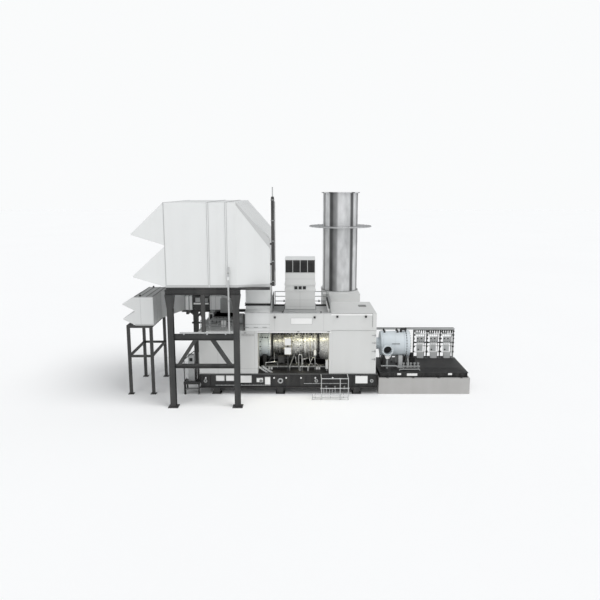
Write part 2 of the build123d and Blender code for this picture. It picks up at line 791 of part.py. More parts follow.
# Suction nozzle with its bolted flange
nozzle_x = 6270
nozzle_z = 2950
nozzle_face_y = -1350
nozzle_neck_r = 320
nozzle_bore_r = 295
nozzle_bore_depth = 420
nozzle_flange_r = 406.5
nozzle_flange_thick = 48
bore_over = 10


def along_y(radius, y0, y1):
    """Cylinder along Y on the nozzle line."""
    rod = Rot(90, 0, 0) * Cylinder(radius, y1 - y0)
    return Pos(nozzle_x, (y0 + y1) / 2, nozzle_z) * rod


nozzle = along_y(nozzle_neck_r, nozzle_face_y, 0)
nozzle = nozzle + along_y(nozzle_flange_r, nozzle_face_y, nozzle_face_y + nozzle_flange_thick)
barrel_line = Pos(nozzle_x, 0, shaft_z) * Rot(0, 90, 0) * Cylinder(barrel_r + seat_clear, 4 * nozzle_flange_r)
nozzle = nozzle - barrel_line
nozzle = nozzle - along_y(nozzle_bore_r, nozzle_face_y - bore_over, nozzle_face_y + nozzle_bore_depth)
nodes["suction_nozzle"] = nozzle

# Instrument rack and cable tray along the rear edge of the driven skid
rack_x0 = 8680
rack_x1 = 11710
rack_bays = 3
rack_in = 450
rack_y = box_half - rack_in
rack_post = 80
rack_top = 3780
low_rail_z = deck_z + 60
mid_rail_z = 2700
panel_width = 560
panel_height = 520
panel_thick = 60
cabinet_width = 480
cabinet_height = 450
cabinet_depth = 260
tray_half = 150
tray_height = 110
tray_sheet = 20
rack_pitch = (rack_x1 - rack_x0) / rack_bays
half_post = rack_post / 2
rack = [block(rack_x0 + i * rack_pitch - half_post, rack_x0 + i * rack_pitch + half_post,
              rack_y - half_post, rack_y + half_post, deck_z, rack_top)
        for i in range(rack_bays + 1)]
for z in (low_rail_z, mid_rail_z, rack_top - rack_post):
    rack.append(block(rack_x0, rack_x1, rack_y - half_post, rack_y + half_post, z, z + rack_post))
nodes["rack_frame"] = fused(rack)
rack_front = rack_y - half_post
bay_middles = [rack_x0 + (i + 0.5) * rack_pitch for i in range(rack_bays)]
nodes["rack_panels"] = Compound([
    block(x - panel_width / 2, x + panel_width / 2, rack_front - panel_thick, rack_front,
          mid_rail_z, mid_rail_z + panel_height) for x in bay_middles])
nodes["rack_cabinets"] = Compound([
    block(x - cabinet_width / 2, x + cabinet_width / 2, rack_front - cabinet_depth, rack_front,
          low_rail_z, low_rail_z + cabinet_height) for x in bay_middles])
tray_z1 = rack_top + tray_height
tray_in = tray_half - tray_sheet
tray_floor = rack_top + tray_sheet
tray = [(rack_y - tray_half, rack_top), (rack_y + tray_half, rack_top), (rack_y + tray_half, tray_z1),
        (rack_y + tray_in, tray_z1), (rack_y + tray_in, tray_floor), (rack_y - tray_in, tray_floor),
        (rack_y - tray_in, tray_z1), (rack_y - tray_half, tray_z1)]
nodes["cable_tray"] = prism_x(tray, exhaust_x1, rack_x1 + half_post)

# Valve manifold beside the barrel
manifold_x0 = 7300
manifold_x1 = 8600
manifold_y = -1300
manifold_z = 1760
manifold_half = 50
manifold_leg = 80
manifold_leg_in = 120
valve_count = 5
valve_r = 45
valve_height = 260
wheel_r = 95
wheel_thick = 30
manifold = [block(manifold_x0, manifold_x1, manifold_y - manifold_half, manifold_y + manifold_half,
                  manifold_z - manifold_half, manifold_z + manifold_half)]
half_leg_m = manifold_leg / 2
for x in (manifold_x0 + manifold_leg_in, manifold_x1 - manifold_leg_in):
    manifold.append(block(x - half_leg_m, x + half_leg_m, manifold_y - half_leg_m,
                          manifold_y + half_leg_m, deck_z, manifold_z))
valve_step = (manifold_x1 - manifold_x0) / valve_count
wheel_z = manifold_z + valve_height
for i in range(valve_count):
    x = manifold_x0 + (i + 0.5) * valve_step
    manifold.append(tube((x, manifold_y, manifold_z), (x, manifold_y, wheel_z), valve_r))
    manifold.append(tube((x, manifold_y, wheel_z - wheel_thick), (x, manifold_y, wheel_z), wheel_r))
nodes["valve_manifold"] = fused(manifold)

# Pipe rack in front of the turbine skid
pipe_r = 30
pipe_y = -3400
pipe_x0 = 1470
pipe_x1 = 3320
pipe_mid = 2760
pipe_top = 1540
pipe_mid_z = 820
pipe_low_x0 = 820
pipe_low_z = 180
pipe_low_step = 240
stay = 50
pipe_top_z = pipe_top - pipe_r
low_levels = (pipe_low_z, pipe_low_z + pipe_low_step)
tubes = [tube((x, pipe_y, 0), (x, pipe_y, pipe_top), pipe_r) for x in (pipe_x0, pipe_mid, pipe_x1)]
tubes += [tube((pipe_x0, pipe_y, z), (pipe_x1, pipe_y, z), pipe_r) for z in (pipe_top_z, pipe_mid_z)]
tubes += [tube((pipe_low_x0, pipe_y, z), (pipe_x1, pipe_y, z), pipe_r) for z in low_levels]
tubes.append(tube((pipe_low_x0 + pipe_r, pipe_y, 0),
                  (pipe_low_x0 + pipe_r, pipe_y, low_levels[1] + pipe_r), pipe_r))
tubes += [block(x - stay / 2, x + stay / 2, pipe_y, -skid_half, pipe_top_z - stay, pipe_top_z)
          for x in (pipe_x0, pipe_x1)]
nodes["front_pipes"] = fused(tubes)

# Landing, grab rail and cabinet at the inlet end
landing_length = 1150
landing_y0 = -2300
landing_y1 = -1150
landing_z = 800
landing_plate = 60
landing_leg = 100
landing_leg_in = 20
grab_in = 60
grab_knee_z = 2500
grab_top_z = 3100
grab_reach = 700
cabinet_x_in = 250
cabinet_side = 450
cabinet_y_in = 600
cabinet_top = 2700
landing_x0 = skid_x0 - landing_length
landing_low = landing_z - landing_plate
deck_plate = block(landing_x0, skid_x0, landing_y0, landing_y1, landing_low, landing_z)
legs = [block(landing_x0 + landing_leg_in, landing_x0 + landing_leg_in + landing_leg, y, y + landing_leg,
              0, landing_low)
        for y in (landing_y0 + landing_leg_in, landing_y1 - landing_leg_in - landing_leg)]
grab_x = landing_x0 + grab_in
grab_y = landing_y0 + 2 * grab_in
grab_points = [(grab_x, grab_y, landing_low), (grab_x, grab_y, grab_knee_z),
               (grab_x + grab_reach, grab_y, grab_top_z), (skid_x0, grab_y, grab_top_z)]
grab = [tube(start, end, pipe_r) for start, end in zip(grab_points, grab_points[1:])]
grab += [Pos(*p) * Box(2 * pipe_r, 2 * pipe_r, 2 * pipe_r) for p in grab_points[1:3]]
nodes["end_landing"] = fused([deck_plate] + legs + grab)
cabinet_x0 = landing_x0 + cabinet_x_in
cabinet_y0 = landing_y0 + cabinet_y_in
nodes["end_cabinet"] = block(cabinet_x0, cabinet_x0 + cabinet_side, cabinet_y0,
                             cabinet_y0 + cabinet_side, landing_z, cabinet_top)

# Export about the bottom centre of the whole package
x_min = vent_hood_tip_x
x_max = plinth_x1
y_min = -col_y - base_side / 2
y_max = stack_y + ring_r
to_origin = Pos(-(x_min + x_max) / 2, -(y_min + y_max) / 2, 0)

os.makedirs("parts", exist_ok=True)
for name, shape in nodes.items():
    pieces = [to_origin * piece for piece in shape.solids()]
    export_step(Compound(pieces), "parts/" + name + ".step")
print(len(nodes), "nodes; shift", -(x_min + x_max) / 2, -(y_min + y_max) / 2)
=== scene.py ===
"""Looks for a gas turbine package with its compressor, filter house, vent filter and stack."""

import math

import bmesh
import bpy
from bpy.props import FloatProperty, FloatVectorProperty, IntProperty, PointerProperty
from mathutils import Matrix, Vector


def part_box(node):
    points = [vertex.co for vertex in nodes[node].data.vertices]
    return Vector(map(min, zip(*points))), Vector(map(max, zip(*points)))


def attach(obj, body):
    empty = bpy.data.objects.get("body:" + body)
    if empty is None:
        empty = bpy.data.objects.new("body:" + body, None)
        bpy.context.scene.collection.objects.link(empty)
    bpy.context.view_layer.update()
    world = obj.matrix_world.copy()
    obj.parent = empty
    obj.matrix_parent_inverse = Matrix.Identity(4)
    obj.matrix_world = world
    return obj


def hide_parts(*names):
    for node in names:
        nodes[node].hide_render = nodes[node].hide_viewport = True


bl_info = {
    "name": "Gas turbine package",
    "version": (1, 0, 0),
    "blender": (4, 5, 0),
    "location": "View3D > Sidebar > Package",
    "description": "Finishes and fine pieces for a gas turbine package",
    "category": "Object",
}

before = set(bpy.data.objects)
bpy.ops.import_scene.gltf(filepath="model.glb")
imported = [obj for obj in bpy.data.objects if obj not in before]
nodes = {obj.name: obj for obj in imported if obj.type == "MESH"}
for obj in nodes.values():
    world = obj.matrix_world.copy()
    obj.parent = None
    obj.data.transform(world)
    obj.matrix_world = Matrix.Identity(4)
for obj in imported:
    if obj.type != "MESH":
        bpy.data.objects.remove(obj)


def corner(name):
    """Low and high corners of a node's box, in metres."""
    low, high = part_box(name)
    return Vector(low), Vector(high)


PLINTH_LOW, PLINTH_HIGH = corner("concrete_plinth")
SKID_LOW, SKID_HIGH = corner("turbine_skid")
DECK = SKID_HIGH.z
SHAFT = sum(corner("compressor_barrel"), Vector()).z / 2
MID_Y = (PLINTH_LOW.y + PLINTH_HIGH.y) / 2
# The enclosure's middle lies this far from the skid's.
BOX_SHIFT = 0.8
MID_X = (SKID_LOW.x + SKID_HIGH.x) / 2 + BOX_SHIFT
# Edges that turn more than this stay sharp.
SHARP = math.radians(35)
# Steps in the round of a pipe's corner.
BEND_STEPS = 4
# Sides of the large turned casings.
ROUND = 96
# Ways a ring of bolts or a collar may face; the shaft lies along X.
ALONG, FRONTWARD, BACKWARD, UPWARD = (1, 0, 0), (0, -1, 0), (0, 1, 0), (0, 0, 1)
# Finishes of the fine pieces.
BARE, BLACK, BLUE = "engine_bare", "skid_black", "casing_blue"
BOLT, BRASS, CABLE = "bolt_metal", "brass_metal", "cable_black"
DARK, DARK_BOLT, DARK_SEAM = "engine_dark", "bolt_dark", "panel_seam"
DUCT, GREY, LAMP = "duct_grey", "plain_grey", "lamp_glass"
PALE, PIPE, PLATE = "casing_pale", "pipe_metal", "plate_white"
RAIL, RING, SEAM = "rail_grey", "ring_metal", "seam_grey"
SHADE, SHEET, STEEL = "panel_shade", "stack_sheet", "frame_charcoal"
# The near-black finish is painted shade: it fills openings, holes and gaps whose insides lie in
# shade.
SHADE_BLACK, WHITE = "dark_void", "panel_white"


def span(name):
    """Low and high X, Y and Z of a node, from the shaft line and the enclosure's middle."""
    low, high = corner(name)
    return (low.x - MID_X, high.x - MID_X, low.y - MID_Y, high.y - MID_Y, low.z, high.z)


def about_shaft(x, radius, turn):
    """Point at a radius about the shaft; the turn is in radians."""
    return (x, radius * math.cos(turn), SHAFT + radius * math.sin(turn))


def sized(label, words, default):
    """A length a user may change, in metres."""
    return FloatProperty(name=label, description=words, default=default, min=0.0, unit="LENGTH")


def tinted(label, words, default):
    """A colour a user may change."""
    return FloatVectorProperty(name=label, description=words, default=default, size=3,
                               subtype="COLOR", min=0.0, max=1.0)


class PACKAGE_PG_finish(bpy.types.PropertyGroup):
    """Colours of the package's finishes."""

    panel: tinted("Panel", "Paint of the house and the vent filter", (0.715, 0.725, 0.72))
    box: tinted("Box", "Paint of the enclosure", (0.62, 0.625, 0.615))
    # The duct's paint is lighter than the panels: painted light in the shade under the filter
    # house.
    duct: tinted("Duct", "Paint of the vent duct", (0.82, 0.83, 0.83))
    steel: tinted("Steel", "Paint of the steel frame", (0.018, 0.019, 0.019))
    skid: tinted("Skid", "Paint of the skids", (0.009, 0.009, 0.0095))
    concrete: tinted("Concrete", "Plinth concrete", (0.42, 0.414, 0.405))
    casing: tinted("Casing", "Paint of the driven compressor", (0.58, 0.63, 0.66))
    engine: tinted("Engine", "Bare metal of the engine", (0.86, 0.86, 0.84))
    stack: tinted("Stack", "Metal of the stack", (0.80, 0.805, 0.81))
    grime: tinted("Grime", "Dust and rain marks", (0.30, 0.28, 0.25))


class PACKAGE_PG_sizes(bpy.types.PropertyGroup):
    """Sizes of the fine pieces."""

    bolt: sized("Bolt", "Radius of a flange bolt head", 0.026)
    seam: sized("Seam", "Width of a panel seam", 0.016)
    pipe: sized("Pipe", "Radius of the small pipes on the engine", 0.024)
    slat: sized("Slat", "Pitch of the louvre slats", 0.095)
    rivet: sized("Rivet", "Radius of a panel screw head", 0.013)
    lug: sized("Lug", "Width of a lifting lug", 0.14)
    ring_bolts: IntProperty(name="Ring bolts", description="Bolts on the stack's ring",
                            default=32, min=3)


def circle(sides, radius, level=0.0, start=0.0):
    """Points about Z; the start is a share of one step."""
    turns = [2 * math.pi * (i + start) / sides for i in range(sides)]
    return [Vector((radius * math.cos(t), radius * math.sin(t), level)) for t in turns]


def sleeve(rings, sides, closed=False):
    """Faces between rings of points; a sleeve that isn't closed has a cap at each end."""
    faces = []
    if not closed:
        faces = [tuple(range(sides)), tuple(range((rings - 1) * sides, rings * sides))]
    for k in range(rings if closed else rings - 1):
        near, far = k * sides, (k + 1) % rings * sides
        for i in range(sides):
            j = (i + 1) % sides
            faces.append((near + i, near + j, far + j, far + i))
    return faces


class Maker:
    """Gathers solids into one mesh, each with its own finish.

    Places are measured from the shaft line and the enclosure's middle.
    """

    def __init__(self):
        self.points = []
        self.faces = []
        self.tags = []
        self.finishes = []

    def add(self, points, faces, finish):
        """Adds points and faces with one finish."""
        if finish not in self.finishes:
            self.finishes.append(finish)
        start = len(self.points)
        self.points.extend([(p[0] + MID_X, p[1] + MID_Y, p[2]) for p in points])
        self.faces.extend([tuple(i + start for i in f) for f in faces])
        self.tags.extend([self.finishes.index(finish)] * len(faces))

    def box(self, x0, x1, y0, y1, z0, z1, finish):
        """Box between two corners."""
        p = [(x, y, z) for z in (z0, z1) for y in sorted((y0, y1)) for x in (x0, x1)]
        self.add(p, [(0, 2, 3, 1), (4, 5, 7, 6), (0, 1, 5, 4), (2, 6, 7, 3), (0, 4, 6, 2),
                     (1, 3, 7, 5)], finish)

    def boxes(self, finish, *spans):
        """Boxes of one finish."""
        for edges in spans:
            self.box(*edges, finish)

    def prism(self, outline, axis, low, high, finish):
        """Outline drawn out along an axis; the outline's points leave that axis out."""
        p = [(*q[:axis], level, *q[axis:]) for level in (low, high) for q in outline]
        self.add(p, sleeve(2, len(outline)), finish)

    def rod(self, start, end, radius, finish, sides):
        """Round bar between two points."""
        a, b = Vector(start), Vector(end)
        turn = (b - a).to_track_quat("Z", "Y")
        rim = circle(sides, radius, start=0.5)
        self.add([spot + turn @ q for spot in (a, b) for q in rim], sleeve(2, sides), finish)

    def post(self, foot, top, radius, finish, sides):
        """Upright round bar from a point to a level."""
        self.rod(foot, (foot[0], foot[1], top), radius, finish, sides)

    def pipe(self, path, radius, finish, sides, bend=0.0):
        """Pipe along points, with rounded corners."""
        spots = [Vector(q) for q in path]
        if bend > 0:
            eased = [spots[0]]
            for before, here, after in zip(spots, spots[1:], spots[2:]):
                inward, onward = before - here, after - here
                reach = min(bend, inward.length / 2, onward.length / 2)
                first = here + inward.normalized() * reach
                last = here + onward.normalized() * reach
                for k in range(BEND_STEPS + 1):
                    t = k / BEND_STEPS
                    eased.append((1 - t) ** 2 * first + 2 * t * (1 - t) * here + t ** 2 * last)
            spots = eased + [spots[-1]]
        p = []
        tilt = None
        for k, spot in enumerate(spots):
            ahead = (spots[min(k + 1, len(spots) - 1)] - spots[max(k - 1, 0)]).normalized()
            turn = ahead.to_track_quat("Z", "Y")
            if tilt is not None:
                side = turn @ Vector((1, 0, 0))
                keep = tilt - ahead * tilt.dot(ahead)
                if keep.length > 1e-6:
                    sign = 1 if side.cross(keep).dot(ahead) > 0 else -1
                    turn = turn @ Matrix.Rotation(sign * side.angle(keep), 3, "Z").to_quaternion()
            tilt = turn @ Vector((1, 0, 0))
            p.extend([spot + turn @ q for q in circle(sides, radius)])
        self.add(p, sleeve(len(spots), sides), finish)

    def arch(self, x0, x1, y, low, high, radius, finish, sides, bend):
        """Pipe that rises, runs along X and comes down again."""
        self.pipe([(x0, y, low), (x0, y, high), (x1, y, high), (x1, y, low)], radius, finish,
                  sides, bend)

    def collar(self, centre, axis, inner, outer, thick, finish, sides):
        """Flat ring about an axis, closed all round."""
        turn = Vector(axis).to_track_quat("Z", "Y")
        edges = [(inner, -0.5), (outer, -0.5), (outer, 0.5), (inner, 0.5)]
        p = [Vector(centre) + turn @ q for r, end in edges for q in circle(sides, r, end * thick)]
        self.add(p, sleeve(4, sides, True), finish)

    def lathe(self, profile, axis, centre, finish, sides):
        """Turned piece from (along, radius) points; the centre leaves the axis out.

        An outline that comes back to its first point makes a ring.
        """
        closed = profile[0] == profile[-1]
        rings = profile[:-1] if closed else profile
        p = []
        for along, radius in rings:
            for q in circle(sides, radius):
                spot = [centre[0] + q.x, centre[1] + q.y]
                spot.insert(axis, along)
                p.append(spot)
        self.add(p, sleeve(len(rings), sides, closed), finish)

    def grow(self, name, values, place, finish, axis=None):
        """Adds what a tree makes, its own Z turned to an axis where one is given."""
        mesh = grown(name, values, finish)
        turn = Vector(axis or (0, 0, 1)).to_track_quat("Z", "Y")
        p = [Vector(place) + (turn @ v.co if axis else v.co) for v in mesh.vertices]
        self.add(p, [tuple(f.vertices) for f in mesh.polygons], finish)
        bpy.data.meshes.remove(mesh)

    def done(self, name, smooth=False):
        """Makes the object, with outward faces, and lets it ride on the package."""
        mesh = bpy.data.meshes.new(name)
        mesh.from_pydata(self.points, [], self.faces)
        for finish in self.finishes:
            mesh.materials.append(bpy.data.materials[finish])
        mesh.polygons.foreach_set("material_index", self.tags)
        shape = bmesh.new()
        shape.from_mesh(mesh)
        bmesh.ops.recalc_face_normals(shape, faces=shape.faces)
        shape.to_mesh(mesh)
        shape.free()
        if smooth:
            mesh.shade_smooth()
            mesh.set_sharp_from_angle(angle=SHARP)
        piece = bpy.data.objects.new(name, mesh)
        bpy.context.scene.collection.objects.link(piece)
        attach(piece, "root")
        return piece


def node(tree, kind, sockets, **settings):
    """Outputs of a new node; an input takes a value or another node's output."""
    made = tree.nodes.new(kind)
    for label, value in settings.items():
        setattr(made, label, value)
    for label, value in sockets.items():
        if isinstance(value, bpy.types.NodeSocket):
            tree.links.new(value, made.inputs[label])
        else:
            made.inputs[label].default_value = value
    return made.outputs


def new_tree(name, kind, inputs, outputs):
    """Empty tree with named inputs and outputs, and what its inputs give."""
    tree = bpy.data.node_groups.new(name, kind)
    for way, sockets in (("INPUT", inputs), ("OUTPUT", outputs)):
        for label, sort in sockets.items():
            tree.interface.new_socket(label, in_out=way, socket_type="NodeSocket" + sort)
    return tree, node(tree, "NodeGroupInput", {})


HEAD = {"Head Radius": "Float", "Head Height": "Float"}
# Each tree's points, what feeds them, and its named inputs.
TREES = {
    "head_ring": ("MeshCircle", {"Vertices": "Count", "Radius": "Ring Radius"},
                  {"Count": "Int", "Ring Radius": "Float", **HEAD}),
    "head_grid": ("MeshGrid", {"Vertices X": "Columns", "Vertices Y": "Rows", "Size X": "Width",
                               "Size Y": "Height"},
                  {"Columns": "Int", "Rows": "Int", "Width": "Float", "Height": "Float", **HEAD}),
    "head_row": ("MeshLine", {"Count": "Count", "Offset": "Step"},
                 {"Count": "Int", "Step": "Vector", **HEAD}),
    "bar_row": ("MeshLine", {"Count": "Count", "Offset": "Step"},
                {"Count": "Int", "Step": "Vector", "Size": "Vector", "Turn": "Rotation"}),
}


def repeat_tree(name):
    """Tree: hexagon heads or bars, one on each point, made real and given their finish."""
    kind, fed, inputs = TREES[name]
    tree, source = new_tree(name, "GeometryNodeTree", {**inputs, "Finish": "Material"},
                            {"Geometry": "Geometry"})
    points = node(tree, "GeometryNode" + kind, {key: source[label] for key, label in fed.items()})
    if "Size" in inputs:
        shape = node(tree, "GeometryNodeMeshCube", {"Size": source["Size"]})
        turn = {"Rotation": source["Turn"]}
    else:
        shape = node(tree, "GeometryNodeMeshCylinder", {
            "Vertices": 6, "Radius": source["Head Radius"], "Depth": source["Head Height"]})
        turn = {}
    spread = node(tree, "GeometryNodeInstanceOnPoints",
                  {"Points": points["Mesh"], "Instance": shape["Mesh"], **turn})
    real = node(tree, "GeometryNodeRealizeInstances", {"Geometry": spread["Instances"]})
    coat = node(tree, "GeometryNodeSetMaterial",
                {"Geometry": real["Geometry"], "Material": source["Finish"]})
    node(tree, "NodeGroupOutput", {"Geometry": coat["Geometry"]})


def grown(name, values, finish):
    """Plain mesh that a tree makes from its named inputs."""
    tree = bpy.data.node_groups[name]
    holder = bpy.data.objects.new("grown", bpy.data.meshes.new("grown"))
    bpy.context.scene.collection.objects.link(holder)
    step = holder.modifiers.new("grow", "NODES")
    step.node_group = tree
    sockets = {s.name: s.identifier for s in tree.interface.items_tree if s.in_out == "INPUT"}
    for label, value in zip(TREES[name][2], values):
        step[sockets[label]] = value
    step[sockets["Finish"]] = bpy.data.materials[finish]
    graph = bpy.context.evaluated_depsgraph_get()
    mesh = bpy.data.meshes.new_from_object(holder.evaluated_get(graph))
    holder.modifiers.remove(step)
    empty = holder.data
    bpy.data.objects.remove(holder)
    bpy.data.meshes.remove(empty)
    return mesh


EFFECT = {"Colour": "Color", "Roughness": "Float", "Height": "Float"}


def math_node(tree, operation, *values):
    """Value of a sum on two or three values."""
    return node(tree, "ShaderNodeMath", dict(enumerate(values)), operation=operation)["Value"]


def object_place(tree):
    """Object coordinates."""
    return node(tree, "ShaderNodeTexCoord", {})["Object"]


def weathering_group():
    """Shared effect: dust clouds and rain streaks over a paint colour."""
    tree, source = new_tree("weathering", "ShaderNodeTree", {
        "Colour": "Color", "Grime": "Color", "Amount": "Float", "Cloud Size": "Float",
        "Streak Size": "Float", "Roughness": "Float"}, EFFECT)
    place = object_place(tree)
    cloud = node(tree, "ShaderNodeTexNoise", {
        "Detail": 5, "Vector": place, "Scale": source["Cloud Size"]})["Fac"]
    drawn = node(tree, "ShaderNodeMapping", {"Scale": (1, 1, 0.06), "Vector": place})["Vector"]
    streak = node(tree, "ShaderNodeTexNoise", {
        "Detail": 3, "Vector": drawn, "Scale": source["Streak Size"]})["Fac"]
    spread = node(tree, "ShaderNodeMapRange", {
        "From Min": 0.16, "From Max": 0.45,
        "Value": math_node(tree, "MULTIPLY", cloud, streak)})["Result"]
    share = math_node(tree, "MULTIPLY", spread, source["Amount"])
    blend = tree.nodes.new("ShaderNodeMix")
    blend.data_type = "RGBA"
    for value, label in ((share, "Factor"), (source["Colour"], "A"), (source["Grime"], "B")):
        tree.links.new(value, blend.inputs[label])
    matt = math_node(tree, "MULTIPLY_ADD", cloud, 0.18, source["Roughness"])
    node(tree, "NodeGroupOutput", {
        "Colour": blend.outputs["Result"], "Roughness": matt, "Height": streak})


def grain_group():
    """Shared effect: drawn or rolled grain of bare metal."""
    tree, source = new_tree("metal_grain", "ShaderNodeTree", {
        "Colour": "Color", "Stretch": "Vector", "Scale": "Float", "Contrast": "Float",
        "Roughness": "Float"}, EFFECT)
    scaled = node(tree, "ShaderNodeVectorMath", {0: object_place(tree), 1: source["Stretch"]},
                  operation="MULTIPLY")["Vector"]
    noise = node(tree, "ShaderNodeTexNoise", {
        "Detail": 6, "Vector": scaled, "Scale": source["Scale"]})["Fac"]
    shade = node(tree, "ShaderNodeMapRange", {
        "From Min": 0.3, "From Max": 0.7, "To Max": 1.0, "Value": noise,
        "To Min": math_node(tree, "SUBTRACT", 1.0, source["Contrast"])})["Result"]
    tone = node(tree, "ShaderNodeVectorMath", {0: source["Colour"], "Scale": shade},
                operation="SCALE")["Vector"]
    matt = math_node(tree, "MULTIPLY_ADD", noise, 0.2, source["Roughness"])
    node(tree, "NodeGroupOutput", {"Colour": tone, "Roughness": matt, "Height": noise})


def coated(name, effect, values):
    """Finish whose colour and roughness come from a shared effect, and the effect's outputs."""
    finish = bpy.data.materials.new(name)
    finish.use_nodes = True
    tree = finish.node_tree
    shader = tree.nodes["Principled BSDF"]
    worn = tree.nodes.new("ShaderNodeGroup")
    worn.node_tree = bpy.data.node_groups[effect]
    for socket, value in zip(worn.inputs, values):
        socket.default_value = (*value, 1) if socket.type == "RGBA" else value
    tree.links.new(worn.outputs["Colour"], shader.inputs["Base Color"])
    tree.links.new(worn.outputs["Roughness"], shader.inputs["Roughness"])
    return tree, shader, worn.outputs


def painted(name, colour, grime, *values):
    """Paint that carries the shared weathering: amount, cloud, streak, roughness."""
    return coated(name, "weathering", (colour, grime, *values))


def bare_metal(name, colour, stretch, scale, contrast, rough, metal=1.0):
    """Bare metal that carries the shared grain."""
    made = coated(name, "metal_grain", (colour, stretch, scale, contrast, rough))
    made[1].inputs["Metallic"].default_value = metal
    return made


def cast_face(tree, shader, worn):
    """Shallow dents of cast concrete."""
    dent = node(tree, "ShaderNodeBump", {"Strength": 0.4, "Distance": 0.004,
                                         "Height": worn["Height"]})
    tree.links.new(dent["Normal"], shader.inputs["Normal"])


# Share of a turn round the stack, and how bright it is there: cladding sheets of different tone,
# and painted reflections, bright and dark upright bands laid about the front.
STACK_SHEETS_AND_REFLECTIONS = (
    (0.0, 0.9), (0.045, 0.85), (0.058, 0.35), (0.072, 0.35), (0.085, 1.0), (0.132, 0.95),
    (0.142, 0.12), (0.165, 0.10), (0.18, 0.30), (0.208, 0.42), (0.222, 0.82), (0.27, 0.95),
    (0.328, 0.85), (0.34, 0.14), (0.362, 0.14), (0.376, 1.0), (0.413, 0.95), (0.428, 0.35),
    (0.445, 0.35), (0.46, 0.85), (0.62, 0.9), (0.63, 0.3), (0.65, 0.3), (0.66, 0.9),
    (0.86, 0.9), (0.87, 0.3), (0.89, 0.3), (0.9, 0.9),
)


def stack_sheets_and_reflections(tree, shader, drawn):
    """Upright bands round the stack: cladding sheets of different tone, and painted reflections,
    bright and dark, about its front.
    """
    middle = sum(corner("stack_shell"), Vector()) / 2
    shift = node(tree, "ShaderNodeVectorMath", {0: object_place(tree), 1: (*middle.xy, 0.0)},
                 operation="SUBTRACT")
    split = node(tree, "ShaderNodeSeparateXYZ", {"Vector": shift["Vector"]})
    turn = node(tree, "ShaderNodeMapRange", {
        "From Min": -math.pi, "From Max": math.pi,
        "Value": math_node(tree, "ARCTAN2", split["Y"], split["X"])})
    ramp = tree.nodes.new("ShaderNodeValToRGB")
    stops = ramp.color_ramp.elements
    stops.remove(stops[-1])
    for k, (where, level) in enumerate(STACK_SHEETS_AND_REFLECTIONS):
        stop = stops.new(where) if k else stops[0]
        stop.position = where
        stop.color = (level, level, level, 1)
    tree.links.new(turn["Result"], ramp.inputs["Fac"])
    blend = tree.nodes.new("ShaderNodeMix")
    blend.data_type = "RGBA"
    blend.blend_type = "MULTIPLY"
    blend.inputs["Factor"].default_value = 1.0
    tree.links.new(drawn["Colour"], blend.inputs[6])
    tree.links.new(ramp.outputs["Color"], blend.inputs[7])
    tree.links.new(blend.outputs[2], shader.inputs["Base Color"])


NODE_FINISH = {
    "panel_white": "intake_duct house_body house_end hood_sheets hood_cheeks vent_house",
    "panel_box": "inlet_box bay_rear_wall bay_bulkhead bay_roof front_fascia exhaust_box"
                 " vent_tower exhaust_chest junction_boxes",
    "duct_grey": "vent_transition vent_elbow",
    "plain_grey": "rack_cabinets end_cabinet front_pipes drain_pipe cable_tray rack_panels",
    "frame_charcoal": "frame_columns base_plates top_beams_long top_beams_cross frame_beams"
                      " frame_struts house_base_beams vent_legs vent_bearers vent_ties"
                      " duct_bearers mast machine_feet rack_frame end_landing",
    "rail_grey": "roof_rails roof_chest valve_manifold",
    "skid_black": "turbine_skid driven_skid vent_fan tower_louvres engine_cradle"
                  " machine_saddles",
    "joint_black": "expansion_joint",
    "plinth_concrete": "concrete_plinth",
    "stack_sheet": "stack_shell",
    "ring_metal": "stack_ring",
    "engine_bare": "compressor_casing combustor_casing turbine_casing exhaust_cone",
    "casing_blue": "intake_casing compressor_barrel suction_nozzle coupling_guard",
}


